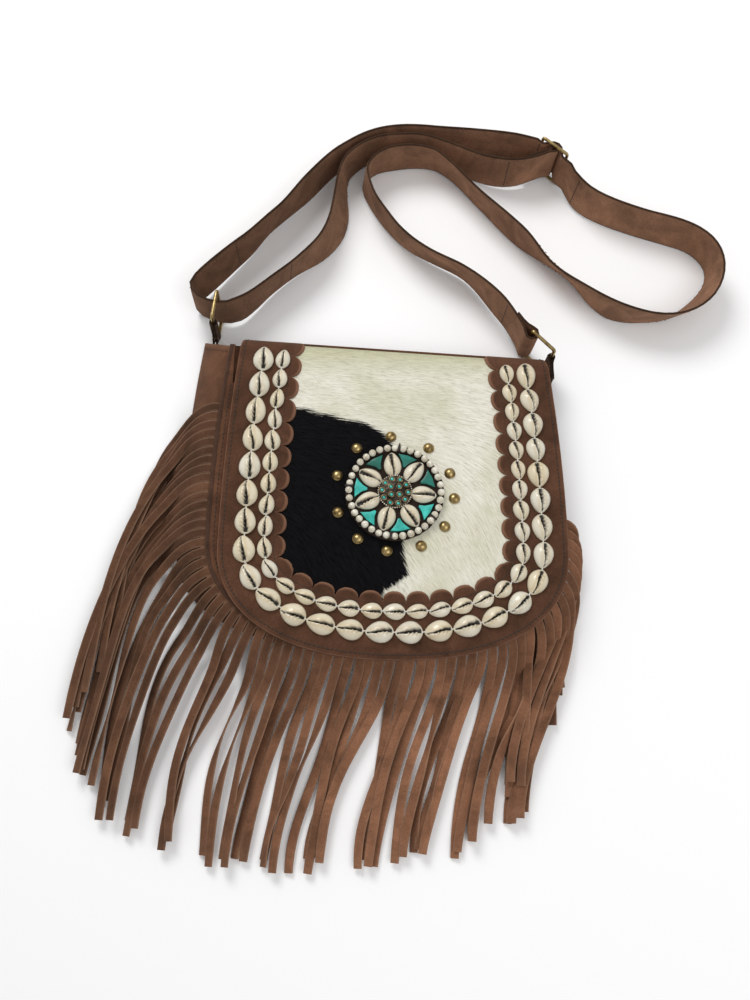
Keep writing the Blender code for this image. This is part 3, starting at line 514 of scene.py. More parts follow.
# How far each strand's end lies from its root: share of the strip, right, up
fringe_drift = (
    (0.00, -0.080, -0.208),
    (0.05, -0.086, -0.208),
    (0.11, -0.094, -0.200),
    (0.20, -0.074, -0.192),
    (0.30, -0.060, -0.172),
    (0.40, -0.042, -0.166),
    (0.52, -0.040, -0.160),
    (0.62, -0.036, -0.162),
    (0.72, -0.036, -0.166),
    (0.80, -0.036, -0.192),
    (0.87, -0.028, -0.220),
    (0.92, -0.019, -0.224),
    (0.96, 0.002, -0.226),
    (1.00, 0.012, -0.222),
)
# How light the strip is along its length: painted shade on the left, painted light at the foot
fringe_light_and_shade = (
    (0.00, 0.72),
    (0.28, 0.80),
    (0.42, 1.20),
    (0.52, 1.75),
    (0.74, 1.65),
    (0.86, 1.40),
    (1.00, 1.20),
)
fringe_material = suede("fringe suede", (0.116, 0.053, 0.029), (0.330, 0.205, 0.135), "rub", "tone",
                        bump=0.45)
header_low = header_top - fringe_leather
strip_length = front_outline.length(fringe_top_y, fringe_top_y)
strands = int(strip_length / strand_pitch)


def header_place(u, v):
    spot, out = spot_on(front_outline, v, fringe_top_y, fringe_top_y)
    angle = 2.0 * math.pi * u
    across = squared(math.cos(angle), 0.35)
    tall = squared(math.sin(angle), 0.5)
    middle = (header_proud - header_sewn) / 2.0
    side = spot + out * (middle + (header_proud + header_sewn) / 2.0 * across)
    return Vector((side.x, side.y, header_low + fringe_leather * (0.5 + 0.5 * tall)))


finished(
    "fringe_header", draped_grid(12, 300, header_place, around=True, caps=True,
                                 marks={"rub": lambda u, v: 0.12, "tone": lambda u, v: 1.0}),
    fringe_material, "pouch")


def read_off(table, share):
    """The values of a table whose first column is the share of the way along, read between its rows."""
    for before, after in zip(table, table[1:]):
        if share <= after[0]:
            part = (share - before[0]) / (after[0] - before[0])
            return [mix(low, high, part) for low, high in zip(before[1:], after[1:])]
    return list(table[-1][1:])


def strand_rub(u, v):
    """A strand is rubbed pale along its cut edges and at its end."""
    return 0.70 * abs(math.cos(2.0 * math.pi * u)) ** 5 + 0.10 * smooth((v - 0.9) * 8.0)


draw = random.Random(11)
wild = random.Random(5)
# Neighbours hang together in clumps: for each strand its place from its clump's middle, how
# closely the clump hangs, how far it swings aside and its layer on the table.
clumps = []
while len(clumps) < strands:
    size = wild.choice((2, 3, 3, 4, 5))
    closeness, swing = wild.choice((0.30, 0.50, 0.62)), wild.gauss(0.0, 0.0040)
    clumps += [(k - (size - 1) / 2.0, closeness, swing, k) for k in range(size)]
fine_steps = 120
stray_share = 0.10
stray_aside = 0.010
right_end_pull = 0.009
cut_strands = []
for index in range(strands):
    share = (index + 0.5) / strands
    root, out = front_outline.walk([share], fringe_top_y, fringe_top_y)[0]
    root = root + out * 0.0024
    drift = Vector(read_off(fringe_drift, share)) * draw.uniform(0.965, 1.03)
    drift.x += draw.uniform(-0.005, 0.005)
    lean = math.radians(draw.uniform(14.0, 34.0))
    leave = 0.008 if share > 0.84 else 0.034 + 0.028 * abs(out.x)
    from_middle, closeness, swing, tier = clumps[index]
    aside = Vector((-drift.y, drift.x)).normalized()
    step = aside.dot(Vector((-out.y, out.x))) * strand_pitch
    drawn_left = Vector((right_end_pull * smooth((share - 0.80) / 0.12), 0.0))
    gathered = aside * (swing - from_middle * step * closeness) - drawn_left
    # a few strays lie across their neighbours
    if wild.random() < stray_share:
        gathered += aside * wild.choice((-stray_aside, stray_aside))
        tier = 3
    first = root + out * leave
    second = root + drift * 0.62 + Vector((drift.x * 0.30, 0.0)) + gathered * 0.8
    end = root + drift + gathered
    sway, phase = wild.uniform(0.0008, 0.0028), wild.uniform(0.0, 6.28)
    # the strands at the foot and on the right twist over more
    turns, turns_from, turns_to = ((0.0, 0.0, 0.35, -0.25, 0.9), 0.45, 0.9)
    if share >= 0.7:
        turns, turns_from, turns_to = ((0.3, 1.5, -1.2, 2.3, -2.1), 0.25, 0.85)
    extra_turn = wild.choice(turns)
    turn_at = wild.uniform(turns_from, turns_to)
    # each strand's own tone at random, times the painted light and shade along the strip
    tone = wild.uniform(0.80, 1.20) * read_off(fringe_light_and_shade, share)[0]
    curl = wild.uniform(-0.0005, 0.0007)
    rest = strand_rest + strand_layer * (tier % 4)
    half = (strand_pitch - slit) / 2.0 + 0.0002

    fine = []
    for k in range(fine_steps + 1):
        t = k / fine_steps
        s = 1.0 - t
        spot = root * s**3 + first * (3 * s * s * t) + second * (3 * s * t * t) + end * t**3
        wave = sway * math.sin(phase + 7.5 * t) * smooth(t * 3.0) * smooth((1.3 - t) * 2.0)
        fine.append(spot + aside * wave)
    reach = distances(fine)

    def strand_place(u, v, fine=fine, reach=reach, lean=lean, rest=rest, curl=curl, half=half,
                     extra_turn=extra_turn, turn_at=turn_at):
        t = v**1.1
        k = min(fine_steps - 1, int(t * fine_steps))
        part = t * fine_steps - k
        spot = fine[k].lerp(fine[k + 1], part)
        travelled = mix(reach[k], reach[k + 1], part)
        ahead = (fine[min(fine_steps, k + 2)] - fine[max(0, k - 1)]).normalized()
        across = Vector((-ahead.y, ahead.x, 0.0))
        settle = smooth((travelled - 0.003) / strand_fall)
        # the strands are cut from the strip, and lie on its stitched edge
        on_edge = header_low + fringe_leather * 0.5 + 0.0007 * smooth(1.6 - travelled / 0.005)
        z = mix(on_edge, rest, settle)
        turned = lean * 0.8 * smooth((travelled - 0.020) / 0.05)
        turned += extra_turn * math.exp(-((t - turn_at) / 0.16) ** 2)
        wide = across * math.cos(turned) + Vector((0.0, 0.0, math.sin(turned)))
        thick = Vector((0.0, 0.0, math.cos(turned))) - across * math.sin(turned)
        angle = 2.0 * math.pi * u
        flat = squared(math.cos(angle), 0.45)
        tall = squared(math.sin(angle), 0.6)
        bowed = curl * (1.0 - flat * flat) * smooth(t * 4.0)
        width = half * (1.0 - 0.10 * smooth((t - 0.9) * 10.0))
        spot = Vector((spot.x, spot.y, z)) + wide * (width * flat)
        spot += thick * (fringe_leather / 2.0 * tall + bowed)
        lift = abs(math.sin(turned)) * half
        spot.z = max(spot.z + max(0.0, lift - rest + 0.0008), 0.0002 + 0.0004 * (tall + 1.0))
        return spot

    def strand_tone(u, v, tone=tone):
        return tone * mix(0.90, 1.10, smooth(v * 2.0))

    cut_strands.append(draped_grid(10, strand_stations, strand_place, around=True, caps=True,
                                   marks={"rub": strand_rub, "tone": strand_tone}))
fringe = finished("fringe_strands", joined(cut_strands), fringe_material, "pouch",
                  sharp_deg=55.0)
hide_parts("fringe")

# The flap: a lined suede board that wraps back over the pouch's fold. Its outline and its slight
# crown are shared by everything that is sewn on it.
flap_axis_y = 0.1038
fold_skew = -0.041
skew_start_y = -0.030
flap_roll = 0.0145
flap_lining = 0.0015
flap_axis_z = front_top_face + 0.0005 - flap_roll
flap_wrap = math.radians(66.0)
flap_foot_y = -0.148
flap_widest = 0.1410
flap_crown = 0.0012
flap_end_y = flap_axis_y + flap_wrap * (flap_roll + flap_lining)
flap_outline = Outline(0.0, flap_widest, 0.1306, flap_end_y, -0.057, flap_foot_y)
hide_thickness = 0.0008
hide_lift = flap_lining + gap
border_leather = 0.0018
border_top = hide_lift + hide_thickness + gap + border_leather


def on_flap(x, y, lift):
    """A point of the flat flap pattern: over the pouch, or wrapped back round the skewed fold."""
    past = y - flap_axis_y
    if past <= 0.0:
        along = (flap_axis_y - y) / (flap_axis_y - flap_foot_y)
        crown = flap_crown * (1.0 - (x / flap_widest) ** 2) * 4.0 * along * (1.0 - along)
        pulled = fold_skew * x * smooth((y - skew_start_y) / (flap_axis_y - skew_start_y))
        return Vector((x, y + pulled, flap_axis_z + flap_roll + lift + max(0.0, crown)))
    angle = past / (flap_roll + flap_lining)
    radius = flap_roll + lift
    fold_y = flap_axis_y + fold_skew * x
    return Vector((x, fold_y + radius * math.sin(angle), flap_axis_z + radius * math.cos(angle)))


def flap_sheet(inset, low, high, columns, rows, marks=None):
    """A closed sheet that follows the flap, with its rows gathered towards the rounded foot."""

    def place(u, v):
        across = max(-1.0, min(1.0, 4.0 * u - 1.0 if u < 0.5 else 3.0 - 4.0 * u))
        straight = 0.45
        if v < straight:
            y = mix(flap_end_y, flap_outline.mid_y, v / straight)
            half = flap_outline.half_width(y) - inset
        else:
            angle = math.pi / 2.0 * (v - straight) / (1.0 - straight)
            depth = flap_outline.mid_y - flap_foot_y - inset
            y = flap_outline.mid_y - depth * math.sin(angle) ** (2.0 / foot_power)
            half = (flap_widest - inset) * max(0.0, math.cos(angle)) ** (2.0 / foot_power) + 0.0004
        return on_flap(half * across, y, low if u < 0.5 else high)

    return draped_grid(columns, rows, place, around=True, caps=True, marks=marks)


board_suede = suede("flap edge suede", (0.060, 0.030, 0.019), (0.2, 0.11, 0.07), bump=0.3)
board_top = flap_lining + gap + 0.5 * hide_thickness
flap_board = finished("flap_board", flap_sheet(0.0002, 0.0, board_top, 48, 110),
                      board_suede, "flap")
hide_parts("flap_lining")

# The hide: one piece of short-haired cowhide, white with a black patch. Its hair lies sideways at
# the top and turns down towards the right.
# The patch's edge, from the left side over the medallion to the foot: right, up
patch_edge = (
    (-0.130, 0.061),
    (-0.076, 0.060),
    (-0.064, 0.056),
    (-0.042, 0.052),
    (-0.022, 0.047),
    (-0.009, 0.039),
    (0.004, 0.022),
    (0.010, -0.010),
    (0.009, -0.040),
    (0.007, -0.060),
    (0.012, -0.080),
    (0.001, -0.089),
    (-0.008, -0.094),
    (-0.012, -0.125),
)


def patch_depth(x, y):
    """How far a point lies inside the black patch, less than nothing outside it."""
    nearest = 1.0
    sign = 1.0
    for (ax, ay), (bx, by) in zip(patch_edge, patch_edge[1:]):
        run = Vector((bx - ax, by - ay))
        step = Vector((x - ax, y - ay))
        part = min(1.0, max(0.0, step.dot(run) / run.length_squared))
        away = step - run * part
        if away.length < nearest:
            nearest = away.length
            sign = -1.0 if run.x * step.y - run.y * step.x > 0.0 else 1.0
    return sign * nearest


def hair_lie(x, y):
    """The way the hair points at a place on the hide."""
    angle = mix(-4.0, -52.0, smooth((0.085 - y) / 0.17)) - 8.0 * smooth(x / 0.09)
    return math.radians(angle)


hide_material, tree, shader = new_material("haired hide", {"Roughness": 0.70, "Specular IOR Level": 0.06})
strand_space = node_at(tree, "ShaderNodeCombineXYZ", -1100, 0, {
    "X": mark_at(tree, -1300, 0, "lie"), "Y": mark_at(tree, -1300, -200, "part")})
streaks = noise_at(tree, -900, 100, strand_space.outputs["Vector"], 1.0, 3.0, 0.65).outputs["Fac"]
where = own_place(tree, -1300, 300)
mottle = noise_at(tree, -900, 350, where, 22.0, 3.0).outputs["Fac"]
white_hair = ramp_at(tree, -650, 150, streaks, (0.30, (0.60, 0.57, 0.47)), (0.60, (0.77, 0.75, 0.66)))
black_hair = ramp_at(tree, -650, -150, streaks, (0.35, (0.0010, 0.0009, 0.0012)),
                     (0.75, (0.0060, 0.0052, 0.0068)))
# Painted shade: the white is darker and greener in its hollows and near the fold
apart = node_at(tree, "ShaderNodeSeparateXYZ", -900, 600, {"Vector": where})
near_fold = range_at(tree, -650, 650, apart.outputs["Y"], 0.086, 0.112, 0.0, 1.0)
painted_shade_amount = node_at(tree, "ShaderNodeMath", -480, 500, {
    0: range_at(tree, -650, 400, mottle, 0.42, 0.66, 0.0, 0.55), 1: near_fold}, operation="MAXIMUM")
shaded_white = mix_at(tree, -350, 220, painted_shade_amount.outputs[0], white_hair, (0.72, 0.73, 0.58, 1.0), "MULTIPLY")
# The patch's edge is feathered along the hairs
feather = node_at(tree, "ShaderNodeMath", -650, -400, {
    0: streaks, 1: 0.9, 2: mark_at(tree, -1300, -400, "dark")}, operation="MULTIPLY_ADD")
split = range_at(tree, -450, -400, feather.outputs[0], 0.92, 1.0, 0.0, 1.0)
feed(shader, {"Base Color": mix_at(tree, -150, 100, split, shaded_white, black_hair),
              "Normal": bump_at(tree, streaks, 0.35, 0.0004)})

border_width = 0.0475
scallops = 31
scallop_depth = 0.0082
hide_overlap = 0.008
hide_inset = border_width - hide_overlap
medallion_y = -0.0128
medallion_cover = 0.041


def mark_hide(bm):
    """Writes where each point lies along and across the hair, and how dark the coat is there."""
    lie = bm.verts.layers.float.new("lie")
    part = bm.verts.layers.float.new("part")
    dark = bm.verts.layers.float.new("dark")
    for vert in bm.verts:
        x, y = vert.co.x, vert.co.y
        angle = hair_lie(0.0, y)
        vert[lie] = (x * math.cos(angle) + y * math.sin(angle)) * 70.0
        vert[part] = (-x * math.sin(angle) + y * math.cos(angle)) * 1300.0
        vert[dark] = 0.5 + 55.0 * patch_depth(x, y)
    return bm


hide = finished(
    "hide_panel_haired", mark_hide(flap_sheet(hide_inset, hide_lift, hide_lift + hide_thickness, 240, 180)),
    hide_material, "flap")
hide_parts("hide_panel")

hair_material, tree, shader = new_material("loose hair", {"Roughness": 0.60, "Specular IOR Level": 0.10})
feed(shader, {"Base Color": ramp_at(tree, -300, 0, mark_at(tree, -500, 0, "dark"),
                                    (0.0, (0.74, 0.71, 0.62)), (1.0, (0.0025, 0.002, 0.0025)))})

# Single hairs stand a little out of the coat, and are longest along the patch's edge.
draw_hair = random.Random(23)
hair_count = 9000
hair_half = 0.00007
bm = bmesh.new()
dark = bm.verts.layers.float.new("dark")
for k in range(hair_count):
    y = draw_hair.uniform(flap_foot_y + border_width + 0.002, flap_end_y - 0.004)
    reach = flap_outline.half_width(max(y, flap_foot_y + 0.012)) - border_width + 0.002
    x = draw_hair.uniform(-reach, reach)
    if math.hypot(x, y - medallion_y) < medallion_cover:
        continue
    root = on_flap(x, y, hide_lift + hide_thickness - 0.0002)
    inside = patch_depth(root.x, root.y)
    angle = hair_lie(x, y) + draw_hair.gauss(0.0, 0.10)
    is_dark = 1.0 if inside + draw_hair.gauss(0.0, 0.0016) > 0.0 else 0.0
    length = draw_hair.uniform(0.005, 0.009)
    way = Vector((math.cos(angle), math.sin(angle)))
    far = Vector((x, y)) + way * length
    tip = on_flap(far.x, far.y, hide_lift + hide_thickness + draw_hair.uniform(0.0002, 0.0010))
    side = Vector((-way.y, way.x, 0.0)) * hair_half
    crest = root + skyward * hair_half * 2.0
    corners = [bm.verts.new(corner) for corner in (root - side, root + side, crest)]
    point = bm.verts.new(tip)
    for vert in (*corners, point):
        vert[dark] = is_dark
    bm.faces.new((corners[2], corners[1], corners[0]))
    for a, b in ((0, 1), (1, 2), (2, 0)):
        bm.faces.new((corners[a], corners[b], point))
bmesh.ops.recalc_face_normals(bm, faces=bm.faces)
finished("hide_hairs", bm, hair_material, "flap")

# The border: a suede frame laid over the hide's edge. Its inner edge is punched in scallops, cut
# raw, and it is sewn down beside the flap's edge.
border_suede = suede("border suede", (0.076, 0.034, 0.019), (0.235, 0.118, 0.072), "rub", bump=0.45)


def even_shares(inset, top_y, samples=600):
    """How far along the flap's outline each share of a path lies that runs inset from it."""
    walked = flap_outline.walk(even(samples), top_y, top_y)
    reach = distances([point - out * inset for point, out in walked])

    def share_of(t):
        goal = t * reach[-1]
        k = min(len(reach) - 2, max(0, bisect.bisect_left(reach, goal) - 1))
        return (k + (goal - reach[k]) / (reach[k + 1] - reach[k])) / (samples - 1)

    return share_of


inner_edge_share = even_shares(border_width, flap_end_y)


def border_place(u, v):
    point, out = spot_on(flap_outline, inner_edge_share(v), flap_end_y, flap_end_y)
    out = out.lerp(Vector((math.copysign(1.0, point.x), 0.0)), smooth((point.y - 0.02) / 0.06))
    within = (v * scallops) % 1.0
    bump = math.sqrt(max(0.0, 1.0 - abs(2.0 * within - 1.0) ** 2.2))
    width = border_width - 0.0016 + scallop_depth * bump
    # Round the frame's own section: over its top, down its inner edge and back underneath
    turn_in = 0.0006
    if u < 0.5:
        t = u * 2.0
        inset = mix(0.0, width, t)
        edge = min(t, 1.0 - t) * width
        lift = border_top - turn_in * max(0.0, 1.0 - edge / 0.0009) ** 2
    else:
        t = (u - 0.5) * 2.0
        inset = mix(width, 0.0, t)
        lift = border_top - border_leather + 0.0001
    centre = point - out * inset
    return on_flap(centre.x, centre.y, lift)


def border_rub(u, v):
    within = (v * scallops) % 1.0
    inner = smooth((u - 0.474) / 0.016) * smooth((0.60 - u) / 0.05)
    outer = 0.55 * (smooth((0.012 - u) / 0.008) + smooth((u - 0.97) / 0.02))
    return min(1.0, 0.85 * inner + outer) * (0.6 + 0.4 * smooth(3.0 * min(within, 1.0 - within)))


border = finished(
    "flap_border_suede",
    draped_grid(96, scallops * 18, border_place, around=True, caps=True, marks={"rub": border_rub}),
    border_suede, "flap", sharp_deg=50.0)
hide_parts("flap_border")


def flap_stitch_spots(inset, pitch, lift, top_y):
    count = int(flap_outline.length(top_y, top_y) / pitch)
    spots = []
    for point, out in flap_outline.walk([(k + 0.5) / count for k in range(count)], top_y, top_y):
        flat = point - out * inset
        ahead = flat + Vector((-out.y, out.x)) * 0.001
        centre = on_flap(flat.x, flat.y, lift)
        spots.append((centre, on_flap(ahead.x, ahead.y, lift) - centre,
                      on_flap(flat.x, flat.y, lift + 0.001) - centre))
    return spots


stitch_row("flap_edge_stitches", flap_stitch_spots(0.0040, 0.0036, border_top + 0.00015, flap_end_y),
           0.0027, 0.0012, thread_dark, "flap")
stitch_row("scallop_stitches", flap_stitch_spots(0.0445, 0.0034, border_top + 0.00002, flap_end_y),
           0.0021, 0.0006, thread_dark, "flap")

# The cowries: small shells, sewn on tip to tip through their slits with white thread. Each is an
# egg-shaped dome, its slit toothed along one lip and wider towards the lower tip.
shell_material, tree, shader = new_material("cowrie shell", {"Coat Weight": 0.25, "Coat Roughness": 0.18})
slit_shade_mark = mark_at(tree, -1100, 0, "slit")
clouding = noise_at(tree, -850, 450, own_place(tree, -1100, 450), 160.0, 4.0)
spread = node_at(tree, "ShaderNodeMath", -650, 350, {
    0: clouding.outputs["Fac"], 1: 0.55, 2: mark_at(tree, -1100, 200, "lip")}, operation="MULTIPLY_ADD")
bands = ramp_at(tree, -450, 350, spread.outputs[0], (0.28, (0.72, 0.68, 0.57)), (0.62, (0.64, 0.57, 0.43)),
                (0.95, (0.56, 0.43, 0.28)))
warm = mix_at(tree, -200, 300, mark_at(tree, -1100, -200, "own"), bands, (0.97, 0.90, 0.77, 1.0),
              "MULTIPLY")
# painted shade: the slit, the hollow inside the shell, is coloured near black
feed(shader, {"Base Color": mix_at(tree, 20, 250, slit_shade_mark, warm, (0.009, 0.006, 0.004, 1.0)),
              "Roughness": range_at(tree, -200, -50, slit_shade_mark, 0.0, 1.0, 0.26, 0.85)})


def add_cowrie(bm, layers, stand, length, width, rise, draw_shell, gape=1.0, wide_end=1.0):
    """Adds one shell at the matrix stand, its length along Y and its slit up.

    gape widens the slit, and wide_end says which end it is wider at: 1 ahead, -1 behind.
    """
    made = bmesh.ops.create_uvsphere(bm, u_segments=26, v_segments=40, radius=1.0)
    slit_side = draw_shell.uniform(-0.05, 0.09)
    sway = draw_shell.uniform(0.05, 0.11)
    open_to = draw_shell.uniform(0.10, 0.16) * gape
    warmth = draw_shell.uniform(0.0, 0.9)
    teeth = 7
    underside = 0.16
    for vert in made["verts"]:
        along = vert.co.z
        angle = math.atan2(vert.co.y, vert.co.x)
        # gathers the mesh's columns towards the slit
        angle += 0.42 * math.sin(2.0 * angle) * (1.0 if math.sin(angle) > 0.0 else 0.0)
        girth = max(0.0, 1.0 - abs(along) ** 2.0) ** 0.62
        egg = 1.0 - 0.16 * along
        x = girth * egg * math.cos(angle)
        tall = girth * math.sin(angle) * (1.0 - 0.10 * along)
        z = tall if tall > 0.0 else tall * underside
        slit_x = slit_side + sway * math.sin(2.4 * along)
        half_open = mix(open_to * 0.45, open_to * 1.35, smooth(0.5 - 0.6 * along * wide_end))
        reach = smooth((0.93 - abs(along)) / 0.10)
        off = x - slit_x
        if tall > 0.0 and reach > 0.0:
            tooth = max(0.0, math.sin(along * teeth * math.pi)) * smooth((0.8 - abs(along)) * 4.0)
            near_lip = math.exp(-((off - half_open * 1.7) / 0.13) ** 2)
            edge = half_open * (1.0 - 0.55 * tooth * (1.0 if off > 0.0 else 0.35))
            sunk = math.exp(-((off / max(0.03, edge)) ** 4)) * reach
            rolled = math.exp(-((abs(off) - half_open * 2.1) / 0.13) ** 2) * reach
            z = z * (1.0 - 0.78 * sunk) + 0.06 * rolled - 0.04 * tooth * near_lip
            # painted shade: the slit and the gaps between the teeth along its lip are marked dark
            vert[layers["slit"]] = min(1.0, max(0.0, sunk * 1.6 - 0.12) + 0.42 * tooth * near_lip)
            lip = math.exp(-((abs(off) - 0.30) / 0.22) ** 2) * smooth((0.9 - abs(along)) * 5.0)
            vert[layers["lip"]] = 0.38 * lip
        vert[layers["own"]] = warmth
        vert.co = stand @ Vector((x * width / 2.0, -along * length / 2.0, z * rise + rise * 0.03))


def shell_layers(bm):
    return {name: bm.verts.layers.float.new(name) for name in ("slit", "lip", "own")}


thread_white = mottled("white thread", {"Roughness": 0.7}, 1800.0,
                       (0.0, (0.45, 0.42, 0.35)), (1.0, (0.82, 0.80, 0.74)))
outer_shell_width = 0.0172
inner_shell_width = 0.0128
shell_rise = 0.0062
row_top_y = flap_axis_y + math.radians(30.0) * (flap_roll + flap_lining)


def cowrie_row(name, count, width, inset, seed, node):
    """Sews one row round the flap and shows the white thread between its shells."""
    draw_shell = random.Random(seed)
    share_of = even_shares(inset, row_top_y)
    shares = [share_of(k / (2 * count)) for k in range(2 * count + 1)]
    flat = [point - out * inset for point, out in flap_outline.walk(shares, row_top_y, row_top_y)]
    lift = border_top + 0.0004
    bm = bmesh.new()
    layers = shell_layers(bm)
    stitches = []
    for k in range(count):
        before, middle, after = flat[2 * k], flat[2 * k + 1], flat[2 * k + 2]
        centre = on_flap(middle.x, middle.y, lift)
        start, end = on_flap(before.x, before.y, lift), on_flap(after.x, after.y, lift)
        length = (end - start).length * draw_shell.uniform(0.94, 1.01)
        normal = (on_flap(middle.x, middle.y, lift + 0.001) - centre).normalized()
        ahead = end - start
        stand = frame_on(centre, ahead, normal) @ Matrix.Rotation(draw_shell.gauss(0.0, 0.07), 4, "Z")
        stand = stand @ Matrix.Rotation(draw_shell.gauss(0.0, 0.06), 4, "Y")
        size = draw_shell.uniform(0.93, 1.05)
        rise = shell_rise * width / outer_shell_width * draw_shell.uniform(0.92, 1.06)
        add_cowrie(bm, layers, stand, length, width * size, rise, draw_shell)
        if k:
            for turned in (-0.35, 0.35):
                across = Matrix.Rotation(turned, 3, normal) @ ahead
                stitches.append((start + normal * 0.0014, across, normal))
    bmesh.ops.recalc_face_normals(bm, faces=bm.faces)
    row = finished(name, bm, shell_material, "flap", sharp_deg=180.0)
    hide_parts(node)
    stitch_row(name + "_thread", stitches, 0.0052, 0.00075, thread_white, "flap")


cowrie_row("outer_cowries", 28, outer_shell_width, 0.0212, 31, "outer_shell_row")
cowrie_row("inner_cowries", 33, inner_shell_width, 0.0375, 47, "inner_shell_row")

# The medallion: pearl beads strung round a leather disc, seven cowries laid as petals with
# turquoise chips between them, and a stamped brass rosette set with small stones.
medallion_lift = hide_lift + hide_thickness + gap
medallion_floor = on_flap(0.0, medallion_y, hide_lift + hide_thickness).z + gap + 0.0015 + gap
middle_of_medallion = Vector((0.0, medallion_y, medallion_floor))
backing_leather = suede("medallion backing", (0.020, 0.013, 0.010), (0.06, 0.04, 0.03), bump=0.3)
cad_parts["medallion_backing"].data.materials[0] = backing_leather


def spoke_at(clockwise_deg):
    """Outward and sideways from the medallion's centre, at a clock angle."""
    angle = math.radians(clockwise_deg)
    return Vector((math.sin(angle), math.cos(angle), 0.0)), Vector((math.cos(angle), -math.sin(angle), 0.0))


pearl_material = mottled("pearl beads", {"Roughness": 0.22, "Coat Weight": 0.6, "Sheen Weight": 0.2}, 260.0,
                         (0.35, (0.46, 0.40, 0.29)), (0.62, (0.74, 0.71, 0.60)))
draw_bead = random.Random(3)
bead_count = 36
bead_pitch = 360.0 / bead_count
bead_radius = 0.00295
bead_circle = 0.0374
bm = bmesh.new()
for k in range(bead_count):
    outward, side = spoke_at(bead_pitch * k + draw_bead.uniform(-0.5, 0.5))
    radius = bead_radius * draw_bead.uniform(0.94, 1.03)
    reach = bead_circle + draw_bead.uniform(-0.0002, 0.0002)
    centre = middle_of_medallion + outward * reach + skyward * radius
    bmesh.ops.create_uvsphere(bm, u_segments=18, v_segments=12, radius=radius,
                              matrix=Matrix.Translation(centre))
beads = finished("pearl_beads", bm, pearl_material, "flap", sharp_deg=180.0)
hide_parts("bead_ring")

# The beads' own string, and four loops of dark thread that tie it down.
string_spots = []
for k in range(bead_count):
    outward, side = spoke_at(bead_pitch * (k + 0.5))
    string_spots.append((middle_of_medallion + outward * bead_circle + skyward * 0.0028, side, skyward))
stitch_row("bead_string", string_spots, 0.0026, 0.0010, thread_dark, "flap")
ties = []
for angle in (5.0, 125.0, 185.0, 275.0):
    outward, side = spoke_at(angle)
    for step, lean in ((-0.0005, 0.10), (0.0005, -0.06)):
        centre = middle_of_medallion + outward * bead_circle + side * step + skyward * 0.0046
        ties.append((centre, outward + side * lean, skyward))
stitch_row("bead_ties", ties, 0.0084, 0.0013, thread_dark, "flap")

# Clockwise from the top, in degrees
petal_angles = (-5, 42, 94, 147, 197, 250, 301)
petal_circle = 0.0236
petal_length = 0.0212
petal_width = 0.0144
petal_rise = 0.0050
draw_petal = random.Random(19)
for k, angle in enumerate(petal_angles):
    outward, side = spoke_at(angle)
    centre = middle_of_medallion + outward * petal_circle + skyward * 0.0001
    bm = bmesh.new()
    layers = shell_layers(bm)
    # the slit's wide end lies outwards
    add_cowrie(bm, layers, frame_on(centre, -outward, skyward), petal_length, petal_width, petal_rise,
               draw_petal, gape=1.35, wide_end=-1.0)
    bmesh.ops.recalc_face_normals(bm, faces=bm.faces)
    petal = finished(f"petal_cowrie_{k + 1}", bm, shell_material, "flap", sharp_deg=180.0)
    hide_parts(f"petal_shell_{k + 1}")


def stone_material(name, low, high):
    """Polished turquoise with darker veins, between two tones."""
    made, tree, shader = new_material(name, {"Roughness": 0.28, "Coat Weight": 0.4})
    where = own_place(tree, -1000, 0)
    cloudy = noise_at(tree, -800, 100, where, 85.0, 4.0)
    warped = mix_at(tree, -800, -200, 0.05, where, cloudy.outputs["Color"])
    veins = node_at(tree, "ShaderNodeTexVoronoi", -600, -200, {"Vector": warped, "Scale": 150.0},
                    feature="DISTANCE_TO_EDGE")
    blues = ramp_at(tree, -450, 100, cloudy.outputs["Fac"], (0.36, low), (0.66, high))
    lines = range_at(tree, -400, -200, veins.outputs["Distance"], 0.0, 0.03, 0.45, 0.0)
    feed(shader, {"Base Color": mix_at(tree, -150, 0, lines, blues, (0.004, 0.045, 0.040, 1.0))})
    return made


deep_turquoise = stone_material("deep turquoise", (0.002, 0.085, 0.062), (0.006, 0.190, 0.145))
bright_turquoise = stone_material("bright turquoise", (0.010, 0.330, 0.280), (0.060, 0.600, 0.520))
# Half of a chip's outline, as distances out from the medallion's centre and aside
chip_outline = ((0.0226, 0.0008), (0.0265, 0.0026), (0.0300, 0.0058), (0.0322, 0.0082))
chip_reach = 0.0332
chip_thickness = 0.0020
for k, before in enumerate(petal_angles):
    half_way = ((petal_angles[(k + 1) % len(petal_angles)] - before) % 360) / 2.0
    outward, side = spoke_at(before + half_way)
    mirrored = [(radius, -half) for radius, half in reversed(chip_outline)]
    ring = [*chip_outline, (chip_reach, 0.0), *mirrored]
    bm = bmesh.new()
    corners = [bm.verts.new(middle_of_medallion + outward * radius + side * half) for radius, half in ring]
    face = bm.faces.new(corners)
    grown = bmesh.ops.extrude_face_region(bm, geom=[face])
    top = [item for item in grown["geom"] if isinstance(item, bmesh.types.BMVert)]
    bmesh.ops.translate(bm, verts=top, vec=skyward * chip_thickness)
    bmesh.ops.recalc_face_normals(bm, faces=bm.faces)
    rims = [edge for edge in bm.edges if all(vert in top for vert in edge.verts)]
    bmesh.ops.bevel(bm, geom=rims, offset=0.0005, segments=3, profile=0.5, affect="EDGES", material=-1)
    stone = bright_turquoise if outward.y < 0.15 else deep_turquoise
    chip = finished(f"turquoise_stone_{k + 1}", bm, stone, "flap", sharp_deg=50.0)
    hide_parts(f"turquoise_chip_{k + 1}")


